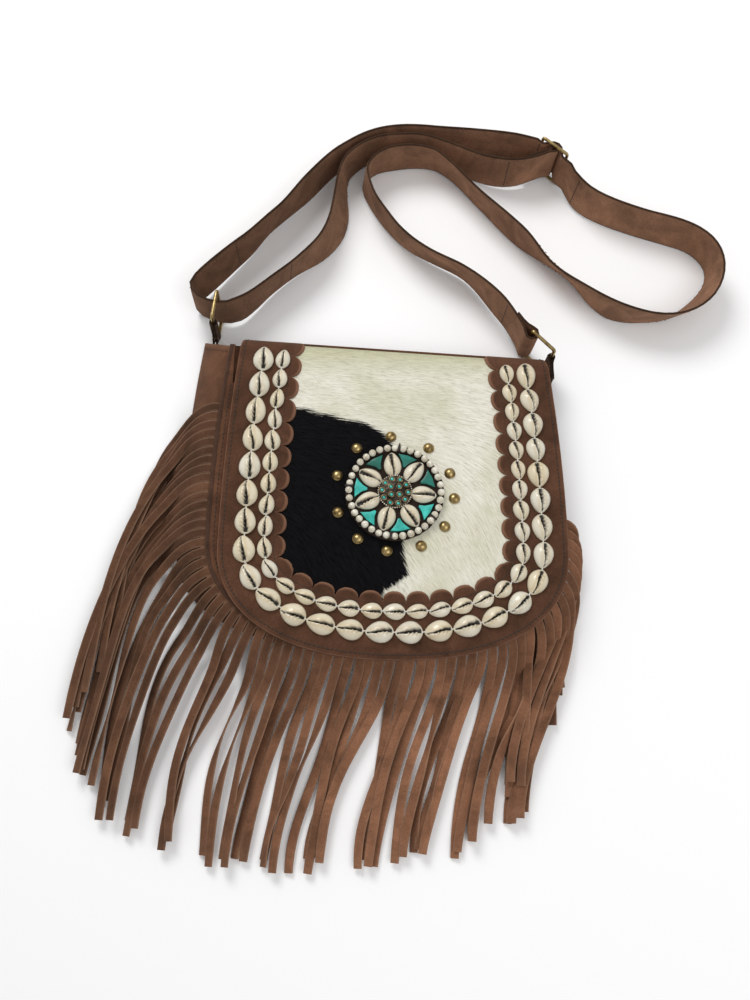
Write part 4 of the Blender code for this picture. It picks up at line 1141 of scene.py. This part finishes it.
def brass_material(name, dark_tone, light_tone, spread, rough_dark, rough_light):
    """Antique brass or bronze: bright where it is rubbed, dark in its hollows."""
    made, tree, shader = new_material(name, {"Metallic": 1.0})
    tarnish = noise_at(tree, -700, 100, own_place(tree, -900, 0), spread, 5.0, 0.65).outputs["Fac"]
    feed(shader, {"Base Color": ramp_at(tree, -450, 100, tarnish, (0.34, dark_tone), (0.62, light_tone)),
                  "Roughness": range_at(tree, -450, -150, tarnish, 0.0, 1.0, rough_dark, rough_light),
                  "Normal": bump_at(tree, tarnish, 0.12, 0.0002)})
    return made


brass = brass_material("antique brass", (0.130, 0.082, 0.030), (0.500, 0.370, 0.165), 210.0, 0.48, 0.24)
bronze = brass_material("blackened bronze", (0.012, 0.010, 0.009), (0.075, 0.060, 0.045), 420.0, 0.60, 0.38)
silver_rim = brass_material("rubbed rim metal", (0.300, 0.260, 0.200), (0.820, 0.760, 0.640), 300.0,
                            0.50, 0.35)


def turned_shape(profile, segments):
    """Spins a profile of (radius, height), which starts and ends on the axis, into a closed shape."""
    bm = bmesh.new()
    chain = [bm.verts.new((radius, 0.0, height)) for radius, height in profile]
    edges = [bm.edges.new(pair) for pair in zip(chain, chain[1:])]
    bmesh.ops.spin(bm, geom=chain + edges, cent=(0, 0, 0), axis=(0, 0, 1), angle=2.0 * math.pi,
                   steps=segments, use_merge=True)
    bmesh.ops.remove_doubles(bm, verts=bm.verts, dist=1e-6)
    bmesh.ops.recalc_face_normals(bm, faces=bm.faces)
    return bm


def wire_ring(radius, wire, height, centre, around=22, across=8):
    """A closed ring of round wire lying level."""

    def place(u, v):
        turn, tilt = 2.0 * math.pi * v, 2.0 * math.pi * u
        reach = radius + wire * math.cos(tilt)
        z = height + wire * math.sin(tilt)
        return centre + Vector((reach * math.cos(turn), reach * math.sin(turn), z))

    return draped_grid(across, around, place, around=True, along=True)


boss_radius = 0.0142
plate = turned_shape(
    ((0.0, 0.0), (boss_radius * 0.92, 0.0), (boss_radius * 0.97, 0.0008), (boss_radius * 0.95, 0.0020),
     (boss_radius * 0.84, 0.0023), (boss_radius * 0.60, 0.0038), (boss_radius * 0.34, 0.0047),
     (0.0, 0.0050)), 48)
# 10 stones stand in an outer circle and 4 in an inner one: count, circle, height, first angle
stone_rings = ((10, 0.0106, 0.0029, -14.0), (4, 0.0047, 0.0046, 42.0))
stone_radius = 0.00135
stone_seats = []
for count, circle, height, first in stone_rings:
    for k in range(count):
        outward, side = spoke_at(360.0 * k / count + first)
        stone_seats.append(outward * circle + skyward * height)
parts = [plate]
draw_grain = random.Random(8)
for k in range(70):
    outward, side = spoke_at(draw_grain.uniform(0.0, 360.0))
    reach = boss_radius * 0.80 * math.sqrt(draw_grain.random())
    seat = outward * reach + Vector((0, 0, 0.0050 - 0.0026 * (reach / (boss_radius * 0.84)) ** 2))
    if min((seat - stone).length for stone in stone_seats) < 0.0025:
        continue
    grain = bmesh.new()
    bmesh.ops.create_icosphere(grain, subdivisions=2, radius=0.00045, matrix=Matrix.Translation(seat))
    parts.append(grain)
bm = joined(parts)
bmesh.ops.translate(bm, verts=bm.verts, vec=middle_of_medallion)
rosette = finished("medallion_rosette", bm, bronze, "flap", sharp_deg=50.0)
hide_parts("medallion_boss")
collar_brass = brass_material("collar brass", (0.110, 0.070, 0.032), (0.420, 0.310, 0.180), 420.0,
                              0.50, 0.30)
collars = [wire_ring(0.0021, 0.00038, 0.0007, middle_of_medallion + seat) for seat in stone_seats]
finished("rosette_collars", joined(collars), collar_brass, "flap", sharp_deg=180.0)
bm = bmesh.new()
rim_grains = 46
rim_grain_radius = 0.00072
for k in range(rim_grains):
    outward, side = spoke_at(360.0 * k / rim_grains)
    seat = middle_of_medallion + outward * (boss_radius - 0.0006) + skyward * 0.0023
    bmesh.ops.create_uvsphere(bm, u_segments=8, v_segments=6, radius=rim_grain_radius,
                              matrix=Matrix.Translation(seat))
finished("rosette_rim", bm, silver_rim, "flap", sharp_deg=180.0)
bm = bmesh.new()
domed = Matrix.Diagonal((stone_radius, stone_radius, stone_radius * 0.55, 1.0))
for seat in stone_seats:
    stand = Matrix.Translation(middle_of_medallion + seat + skyward * 0.0004)
    bmesh.ops.create_uvsphere(bm, u_segments=14, v_segments=8, radius=1.0, matrix=stand @ domed)
finished("rosette_stones", bm, bright_turquoise, "flap", sharp_deg=180.0)

# The studs: eleven pressed brass domes on flat rims. They stand in a ring round the medallion,
# pronged through the hide.
stud_angles = (-4, 35, 68, 94, 124, 154, 187, 217, 249, 286, 320)
stud_circle = 0.0490
stud_radius = 0.0046
for k, angle in enumerate(stud_angles):
    outward, side = spoke_at(angle)
    flat = Vector((0.0, medallion_y, 0.0)) + outward * stud_circle
    seat = on_flap(flat.x, flat.y, medallion_lift)
    bm = turned_shape(
        ((0.0, 0.0), (stud_radius * 0.98, 0.0), (stud_radius, 0.0003), (stud_radius * 0.95, 0.0007),
         (stud_radius * 0.86, 0.0009), (stud_radius * 0.78, 0.0016), (stud_radius * 0.60, 0.0024),
         (stud_radius * 0.34, 0.0029), (0.0, 0.0031)), 28)
    bmesh.ops.translate(bm, verts=bm.verts, vec=seat)
    stud = finished(f"brass_stud_{k + 1:02d}", bm, brass, "flap", sharp_deg=60.0)
    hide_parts(f"stud_{k + 1:02d}")

# The rings and the slider: bent brass wire. A ring stands in each tab and in a fold of the strap;
# the slider has a centre bar, which the strap's end is sewn round.
wire_radius = 0.0016
ring_inside = 0.0390
ring_floor = 0.0003
left_ring_near, left_ring_far = (-0.1575, 0.1395), (-0.1550, 0.1652)
right_ring_near, right_ring_far = (0.1372, 0.1180), (0.1190, 0.1363)
slider_centre = (0.1485, 0.3285)
slider_turn = math.radians(140.5)
slider_bar_pitch = 0.0140
slider_wire = 0.0015


def wire_frame(near, far, wire):
    """A closed rectangle of round wire standing on edge between two plan points."""
    near, far = Vector(near), Vector(far)
    along = (far - near).normalized()
    reach = (far - near).length
    low, high = ring_floor + wire, ring_floor + ring_inside + 3.0 * wire
    corner = wire * 1.3
    spots = []
    for cx, cz, start in ((reach - corner, high - corner, 0.0), (corner, high - corner, 90.0),
                          (corner, low + corner, 180.0), (reach - corner, low + corner, 270.0)):
        for k in range(7):
            turned = math.radians(start + 15.0 * k)
            spots.append((cx + corner * math.cos(turned), cz + corner * math.sin(turned), turned))
    side = Vector((-along.y, along.x, 0.0))

    def place(u, v):
        x, z, turned = spots[round(v * len(spots)) % len(spots)]
        out = Vector((along.x * math.cos(turned), along.y * math.cos(turned), math.sin(turned)))
        a = 2.0 * math.pi * u
        centre = Vector((near.x + along.x * x, near.y + along.y * x, z))
        return centre + out * (wire * math.cos(a)) + side * (wire * math.sin(a))

    return draped_grid(14, len(spots), place, around=True, along=True)


def slider_spot(along, across):
    """A point near the slider: along is west past its centre bar, across is to its far side."""
    u = Vector((math.cos(slider_turn), math.sin(slider_turn)))
    v = Vector((u.y, -u.x))
    return Vector(slider_centre) + u * along + v * across


left_ring = finished("left_ring_wire", wire_frame(left_ring_near, left_ring_far, wire_radius),
                     brass, "left_ring", sharp_deg=80.0)
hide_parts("left_ring")
right_ring = finished("right_ring_wire", wire_frame(right_ring_near, right_ring_far, wire_radius),
                      brass, "right_ring", sharp_deg=80.0)
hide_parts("right_ring")
centre_bar = bmesh.new()
bar_tall = ring_inside + 2.0 * slider_wire
bmesh.ops.create_cone(centre_bar, cap_ends=True, segments=14, radius1=slider_wire, radius2=slider_wire,
                      depth=bar_tall)
bmesh.ops.translate(centre_bar, verts=centre_bar.verts,
                    vec=(*slider_centre, ring_floor + 2.0 * slider_wire + ring_inside / 2.0))
outer_frame = wire_frame(slider_spot(slider_bar_pitch, 0.0), slider_spot(-slider_bar_pitch, 0.0),
                         slider_wire)
slider = finished("strap_slider", joined([outer_frame, centre_bar]), brass, "pouch",
                  sharp_deg=60.0)
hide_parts("slider")

# The shoulder strap: one long suede band, folded back through the slider so that its length
# adjusts. It stands on its edge on the table; its edges are painted dark and sewn.
strap_width = 0.038
strap_leather = 0.0026
strap_floor = 0.0006
strap_lifted = 0.0040
bight_slack = 0.0027
# The strap's route at mid height: x, y, and how far its top edge leans left
strap_right_run = (
    (0.1035, 0.1590, 0.000),
    (0.0930, 0.1740, 0.000),
    (0.0640, 0.2050, 0.009),
    (0.0340, 0.2220, 0.010),
    (0.0185, 0.2320, 0.008),
    (0.0050, 0.2440, 0.006),
    (-0.0070, 0.2590, 0.004),
    (-0.0175, 0.2750, 0.003),
    (-0.0245, 0.2910, 0.000),
    (-0.0275, 0.3040, -0.003),
    (-0.0235, 0.3140, -0.004),
    (-0.0150, 0.3220, -0.003),
    (0.0000, 0.3275, -0.001),
    (0.0220, 0.3300, -0.003),
    (0.0390, 0.3270, -0.006),
    (0.0520, 0.3172, -0.008),
    (0.0795, 0.2865, -0.008),
    (0.1080, 0.2560, -0.004),
    (0.1210, 0.2430, -0.005),
    (0.1455, 0.2195, -0.017),
    (0.1590, 0.2080, -0.018),
    (0.1840, 0.1830, -0.007),
    (0.1985, 0.1735, -0.004),
    (0.2150, 0.1685, -0.006),
    (0.2320, 0.1670, -0.010),
    (0.2475, 0.1680, -0.012),
    (0.2610, 0.1720, -0.013),
    (0.2730, 0.1790, -0.014),
    (0.2840, 0.1890, -0.013),
    (0.2925, 0.2010, -0.009),
    (0.2975, 0.2150, -0.004),
    (0.2970, 0.2290, -0.001),
    (0.2905, 0.2410, -0.001),
    (0.2795, 0.2500, -0.002),
    (0.2640, 0.2565, -0.004),
    (0.2280, 0.2670, -0.003),
    (0.1940, 0.2800, -0.003),
    (0.1800, 0.2880, -0.003),
    (0.1715, 0.2965, -0.002),
    (0.1665, 0.3040, 0.000),
)
strap_outer_run = (
    (0.1270, 0.3395, 0.000),
    (0.1130, 0.3430, 0.000),
    (0.0770, 0.3468, 0.000),
    (0.0400, 0.3490, 0.000),
    (0.0230, 0.3505, 0.000),
    (0.0040, 0.3500, 0.000),
    (-0.0150, 0.3460, 0.000),
    (-0.0300, 0.3395, 0.000),
    (-0.0445, 0.3300, 0.000),
    (-0.0580, 0.3185, -0.001),
    (-0.0810, 0.2910, -0.002),
    (-0.1045, 0.2625, 0.004),
    (-0.1155, 0.2505, 0.004),
    (-0.1310, 0.2300, 0.000),
    (-0.1465, 0.2130, -0.003),
    (-0.1650, 0.1920, -0.005),
    (-0.1735, 0.1815, -0.004),
)
strap_bight = (
    (-0.1777, 0.1745, -0.002),
    (-0.1770, 0.1680, 0.000),
    (-0.1715, 0.1625, 0.000),
    (-0.1635, 0.1585, 0.000),
    (-0.1550, 0.1565, 0.000),
    (-0.1460, 0.1567, 0.001),
)
strap_inner_run = (
    (-0.1380, 0.1600, 0.002),
    (-0.1290, 0.1668, 0.000),
    (-0.1095, 0.1870, -0.004),
    (-0.0890, 0.2065, -0.004),
    (-0.0675, 0.2265, 0.004),
    (-0.0590, 0.2390, 0.009),
    (-0.0530, 0.2535, 0.013),
    (-0.0500, 0.2690, 0.014),
    (-0.0485, 0.3000, 0.007),
    (-0.0455, 0.3130, 0.003),
    (-0.0375, 0.3235, 0.001),
    (-0.0270, 0.3320, 0.000),
    (-0.0155, 0.3372, 0.000),
    (0.0120, 0.3412, 0.000),
    (0.0260, 0.3408, 0.000),
    (0.0515, 0.3325, 0.000),
    (0.0770, 0.3210, 0.002),
    (0.0920, 0.3160, 0.003),
    (0.1060, 0.3140, 0.003),
    (0.1190, 0.3150, 0.002),
)


def bight(bar, toward, radius, start, end, steps=7):
    """Stations round a bar, from one side of the direction toward to the other."""
    heading = math.atan2(toward[1], toward[0])
    found = []
    for k in range(steps):
        turned = heading + start + (end - start) * k / (steps - 1)
        found.append((bar[0] + radius * math.cos(turned), bar[1] + radius * math.sin(turned), 0.0))
    return found


def strap_route():
    """The whole strap as (x, y, lean, floor): sewn round the right ring, through the slider and the
    left ring, and sewn round the slider's bar."""
    lap = strap_leather + 0.0004
    first = Vector(strap_right_run[0][:2])
    bar = Vector(right_ring_far)
    away = (first - bar).normalized()
    left = Vector((-away.y, away.x))
    loop = wire_radius + bight_slack + strap_leather / 2.0
    ends = ((0.022, 0.0), (0.014, 0.0), (0.0085, 0.0008))
    route = [(*(bar + away * reach - left * (lap / 2.0 + spread)), 0.0) for reach, spread in ends]
    route += bight(bar, away, loop, math.radians(-52.0), math.radians(-308.0))
    back_out = reversed(ends[1:])
    route += [(*(bar + away * reach + left * (lap / 2.0 + spread)), 0.0) for reach, spread in back_out]
    lifted = len(route)
    route += strap_right_run
    weave = ((-0.0220, -0.0036), (-0.0175, -0.0033), (-0.0140, -0.0032), (-0.0110, -0.0028),
             (-0.0080, 0.0006), (-0.0045, 0.0047), (0.0, 0.0062), (0.0045, 0.0047), (0.0080, 0.0006),
             (0.0110, -0.0028), (0.0140, -0.0032), (0.0180, -0.0026))
    slider_first = len(route)
    route += [(*slider_spot(along, across), 0.0) for along, across in weave]
    slider_last = len(route)
    route += strap_outer_run
    ring_first = len(route)
    route += strap_bight
    ring_last = len(route)
    route += strap_inner_run
    centre = Vector(slider_centre)
    away = (Vector(strap_inner_run[-1][:2]) - centre).normalized()
    left = Vector((-away.y, away.x))
    end_first = len(route)
    route += [(*(centre + away * reach + left * (lap / 2.0)), 0.0) for reach in (0.018, 0.010, 0.0058)]
    wrap = slider_wire + gap + strap_leather / 2.0
    route += bight(centre, away, wrap, math.radians(58.0), math.radians(302.0))
    tail = (0.0058, 0.010, 0.018, 0.026)
    route += [(*(centre + away * reach - left * (lap / 2.0)), 0.0) for reach in tail]
    stations = []
    for k, (x, y, lean) in enumerate(route):
        near = min(abs(k - lifted) if k > lifted else 0,
                   max(slider_first - k, k - slider_last, 0),
                   max(ring_first - k, k - ring_last + 1, 0),
                   max(end_first - k, 0))
        low = strap_lifted + (strap_floor - strap_lifted) * smooth(near / 5.0)
        stations.append((x, y, lean, low))
    return stations


def smooth_stations(route, spacing):
    """More stations between those of a route, on a smooth curve through them all."""
    found = []
    for k in range(len(route) - 1):
        a, b, c, d = (route[min(len(route) - 1, max(0, k + step))] for step in (-1, 0, 1, 2))
        run = math.dist(b[:2], c[:2])
        before, after = math.dist(a[:2], b[:2]) or run, math.dist(c[:2], d[:2]) or run
        steps = max(1, round(run / spacing))
        for n in range(steps):
            t = n / steps
            row = []
            for p, q, r, w in zip(a, b, c, d):
                leave = ((q - p) / before + (r - q) / run) / 2.0 * run if k else r - q
                arrive = ((r - q) / run + (w - r) / after) / 2.0 * run if k < len(route) - 2 else r - q
                row.append((2 * t**3 - 3 * t**2 + 1) * q + (t**3 - 2 * t**2 + t) * leave
                           + (3 * t**2 - 2 * t**3) * r + (t**3 - t**2) * arrive)
            found.append(tuple(row))
    found.append(route[-1])
    return found


def band_sections(stations, leather):
    """Each station of a standing band: its middle, half its height, half its thickness and its way on."""
    found = []
    for k, (x, y, lean, low, high) in enumerate(stations):
        before, after = stations[max(0, k - 1)], stations[min(len(stations) - 1, k + 1)]
        ahead = Vector((after[0] - before[0], after[1] - before[1], 0.0)).normalized()
        left = Vector((-ahead.y, ahead.x, 0.0))
        foot = Vector((x, y, low)) - left * (lean / 2.0)
        head = Vector((x, y, high)) + left * (lean / 2.0)
        thin = (head - foot).cross(ahead).normalized() * (leather / 2.0)
        found.append(((foot + head) / 2.0, (head - foot) / 2.0, thin, ahead))
    return found


def band(sections, columns=24):
    """The leather of a standing band, with soft edges that carry the mark painted: the dark edge paint, and
    painted light and shade along its faces.
    """

    def place(u, v):
        middle, half, thin, ahead = sections[round(v * (len(sections) - 1))]
        angle = 2.0 * math.pi * u
        return middle + half * squared(math.cos(angle), 0.30) + thin * squared(math.sin(angle), 0.5)

    def painted(u, v):
        flat = abs(math.cos(2.0 * math.pi * u)) ** 0.30
        middle = sections[round(v * (len(sections) - 1))][0]
        # painted shade and light: the faces darken towards the left and lighten towards the right
        face = mix(0.58, 1.10, smooth((middle.x + 0.20) / 0.30))
        return mix(face, 0.16, smooth((flat - 0.925) / 0.04))

    return draped_grid(columns, len(sections) - 1, place, around=True, caps=True,
                       marks={"painted": painted})


strap_suede = suede("strap suede", (0.215, 0.112, 0.066), (0.3, 0.17, 0.11), tone_mark="painted", bump=0.4)
route = smooth_stations(strap_route(), 0.0065)
strap_stations = [(x, y, lean, low, low + math.sqrt(strap_width**2 - lean**2))
                  for x, y, lean, low in route]
strap_sections = band_sections(strap_stations, strap_leather)
strap = finished("strap_band", band(strap_sections), strap_suede, "pouch", sharp_deg=60.0)
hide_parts("shoulder_strap")

thread_tan = mottled("tan thread", {"Roughness": 0.7}, 1400.0,
                     (0.0, (0.050, 0.028, 0.018)), (1.0, (0.330, 0.200, 0.125)))


def edge_stitch_spots(sections, pitch, inset, lift=0.0):
    """Spots along both edges of a band, on both faces."""
    spots = []
    walked = 0.0
    for (middle, half, thin, ahead), (after, _, _, _) in zip(sections, sections[1:]):
        run = (after - middle).length
        while walked < run:
            on_way = middle.lerp(after, walked / run)
            share = 1.0 - inset / half.length
            for face in (-1.0, 1.0):
                for edge in (-1.0, 1.0):
                    out = thin.normalized() * face
                    spots.append((on_way + half * (share * edge) + thin * face + out * lift, ahead, out))
            walked += pitch
        walked -= run
    return spots


stitch_row("strap_edge_stitches", edge_stitch_spots(strap_sections, 0.0042, 0.0042, -0.00016),
           0.0027, 0.00080, thread_tan, "pouch")

# Rows sewn straight across the strap, where its two lengths are joined and its ends come back
strap_seams = ((-0.1372, 0.2151), (-0.0988, 0.2032), (0.1705, 0.2955), (0.1298, 0.3300),
               (0.1060, 0.3140), (0.1010, 0.1620))
cross_spots = []
for seam in strap_seams:
    nearest = min(strap_sections, key=lambda section: math.dist(section[0][:2], seam))
    middle, half, thin, ahead = nearest
    for face in (-1.0, 1.0):
        for k in range(9):
            spot = middle + half * mix(-0.76, 0.76, k / 8) + thin * face
            cross_spots.append((spot, half, thin.normalized() * face))
stitch_row("strap_cross_stitches", cross_spots, 0.0034, 0.0010, thread_dark, "pouch")

# The tabs: strips of dark suede folded round the rings' near bars. Their ends are sewn to the side
# wall's corner on the left, and along the pouch's side on the right.
tab_leather = 0.0018
tab_fold = 0.0023
tab_low = 0.0065
tab_high = 0.0335
tab_suede = suede("tab suede", (0.030, 0.016, 0.011), (0.2, 0.11, 0.07), tone_mark="painted", bump=0.35)


def tab_route(legs, bar):
    """Stations of a strip from its inward leg, round the bar and back down its outward leg."""
    inward, outward = legs
    loop = wire_radius + gap + tab_leather / 2.0
    start = math.atan2(inward[-1][1] - bar[1], inward[-1][0] - bar[0])
    end = math.atan2(outward[-1][1] - bar[1], outward[-1][0] - bar[0])
    while end < start + math.pi:
        end += 2.0 * math.pi
    low, high = inward[-1][2:]
    around = []
    for k in range(10):
        turned = mix(start, end, k / 9)
        around.append((bar[0] + loop * math.cos(turned), bar[1] + loop * math.sin(turned), low, high))
    whole = list(inward[:-1]) + around + list(reversed(outward[:-1]))
    return smooth_stations([(x, y, 0.0, low, high) for x, y, low, high in whole], 0.0020)


def left_tab_legs():
    x, y = left_ring_near
    half = tab_fold / 2.0
    top = tab_high + 0.003
    inward = ((x + half + 0.0004, back_top_y - 0.0085, 0.0100, 0.0165),
              (x + half + 0.0002, back_top_y - 0.0015, 0.0120, 0.0290),
              (x + half, y - 0.0045, tab_low, top),
              (x + half + 0.0009, y - 0.0024, tab_low, top))
    outward = ((x - half - 0.0004, back_top_y - 0.0080, 0.0095, 0.0150),
               (x - half - 0.0002, back_top_y - 0.0005, 0.0120, 0.0290),
               (x - half, y - 0.0045, tab_low, top),
               (x - half - 0.0009, y - 0.0024, tab_low, top))
    return inward, outward


def right_tab_legs():
    """The right tab runs along the pouch's side from below the flap's edge up to the ring."""
    x, y = right_ring_near
    half = tab_fold / 2.0
    rim = front_outline.centre_x + front_outline.half_width(0.060) + gap + tab_leather / 2.0
    inward = ((x + half - 0.0003, 0.0980, tab_low, tab_high), (x + half, y - 0.0045, tab_low, tab_high),
              (x + half + 0.0009, y - 0.0024, tab_low, tab_high))
    outward = ((rim + 0.0006, fringe_top_y + 0.0010, tab_low + 0.016, tab_high),
               (rim + 0.0040, 0.0760, tab_low + 0.008, tab_high),
               (x - half - 0.0003, 0.0960, tab_low, tab_high), (x - half, y - 0.0045, tab_low, tab_high),
               (x - half - 0.0009, y - 0.0024, tab_low, tab_high))
    return inward, outward


for side, legs, bar in (("left", left_tab_legs(), left_ring_near),
                        ("right", right_tab_legs(), right_ring_near)):
    tab_sections = band_sections(tab_route(legs, bar), tab_leather)
    tab = finished(f"{side}_ring_tab", band(tab_sections, 16), tab_suede, "pouch", sharp_deg=60.0)
    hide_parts(f"{side}_tab")
    stitch_row(f"{side}_tab_stitches", edge_stitch_spots(tab_sections, 0.0034, 0.0028), 0.0020, 0.0006,
               thread_tan, "pouch")

# The fold: the suede runs on from the back panel's top, round the fold, to the flap's end. The lining
# inside it is dark cotton twill.
back_panel_end_y = 0.1070
skin_half = 0.1290
skin_reach = flap_roll + border_top - 0.5 * border_leather - 0.0002
skin_end = math.radians(25.0)


def skin_place(u, v):
    ring = 2.0 * math.pi * u
    x = skin_half * squared(math.cos(ring), 0.2)
    outside = 0.5 * suede_thickness * squared(math.sin(ring), 0.5)
    fold_y = flap_axis_y + fold_skew * x
    foot = Vector((back_panel_end_y + 0.0002, 0.0011))
    side = Vector((fold_y + skin_reach, flap_axis_z))
    below = 0.6
    if v < below:
        turn = math.pi / 2.0 * v / below
        spot = Vector((foot.x + (side.x - foot.x) * math.sin(turn),
                       side.y - (side.y - foot.y) * math.cos(turn)))
        facing = Vector((math.sin(turn), -math.cos(turn)))
    else:
        turn = skin_end * (v - below) / (1.0 - below)
        facing = Vector((math.cos(turn), math.sin(turn)))
        spot = Vector((fold_y, flap_axis_z)) + facing * skin_reach
    spot = spot + facing * outside
    return Vector((x, spot.x, max(0.0002, spot.y)))


fold_skin = finished("fold_skin", draped_grid(96, 34, skin_place, around=True, caps=True),
                     body_suede, None, sharp_deg=60.0)
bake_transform(fold_skin)


def back_corner_place(u, v):
    """A flat corner of suede between the side wall's hem and the fold's left end."""
    ring = 2.0 * math.pi * u
    across = 0.5 + 0.5 * squared(math.cos(ring), 0.2)
    tall = 0.0010 + 0.0008 * squared(math.sin(ring), 0.5)
    y = mix(back_panel_end_y, back_top_y - 0.0015, v)
    left = back_outline.centre_x - back_outline.half_width(y) + 0.0010
    return Vector((mix(left, 0.0004 - skin_half, across), y, tall))


finished("back_corner", draped_grid(40, 16, back_corner_place, around=True, caps=True),
         body_suede, "pouch", sharp_deg=60.0)

lining_cloth, tree, shader = new_material("lining twill", {"Roughness": 0.85})
twill = node_at(tree, "ShaderNodeTexWave", -750, 100, {
    "Vector": own_place(tree, -1000, 0), "Scale": 420.0, "Distortion": 0.4},
    wave_type="BANDS", bands_direction="DIAGONAL").outputs["Fac"]
feed(shader, {"Base Color": ramp_at(tree, -450, 100, twill, (0.0, (0.010, 0.007, 0.006)),
                                    (1.0, (0.032, 0.022, 0.017))),
              "Normal": bump_at(tree, twill, 0.25, 0.0003)})
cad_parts["back_lining"].data.materials[0] = lining_cloth

# The side wall's hem: the wall's top left end is turned in, and sewn across with the dark thread
# of the seams.
hem_stitches = 11
hem_share = 0.0085
hem_spots = []
for k in range(hem_stitches):
    rise = mix(0.10, 0.97, k / (hem_stitches - 1))
    spot = gusset_place(rise / 2.0, hem_share)
    ahead = gusset_place(rise / 2.0 + 0.01, hem_share) - spot
    down = gusset_place(rise / 2.0, 0.0110) - spot
    normal = down.cross(ahead).normalized()
    hem_spots.append((spot - normal * math.copysign(0.0001, normal.x), ahead, normal))
stitch_row("side_hem_stitches", hem_spots, 0.0024, 0.0008, thread_dark, "pouch")
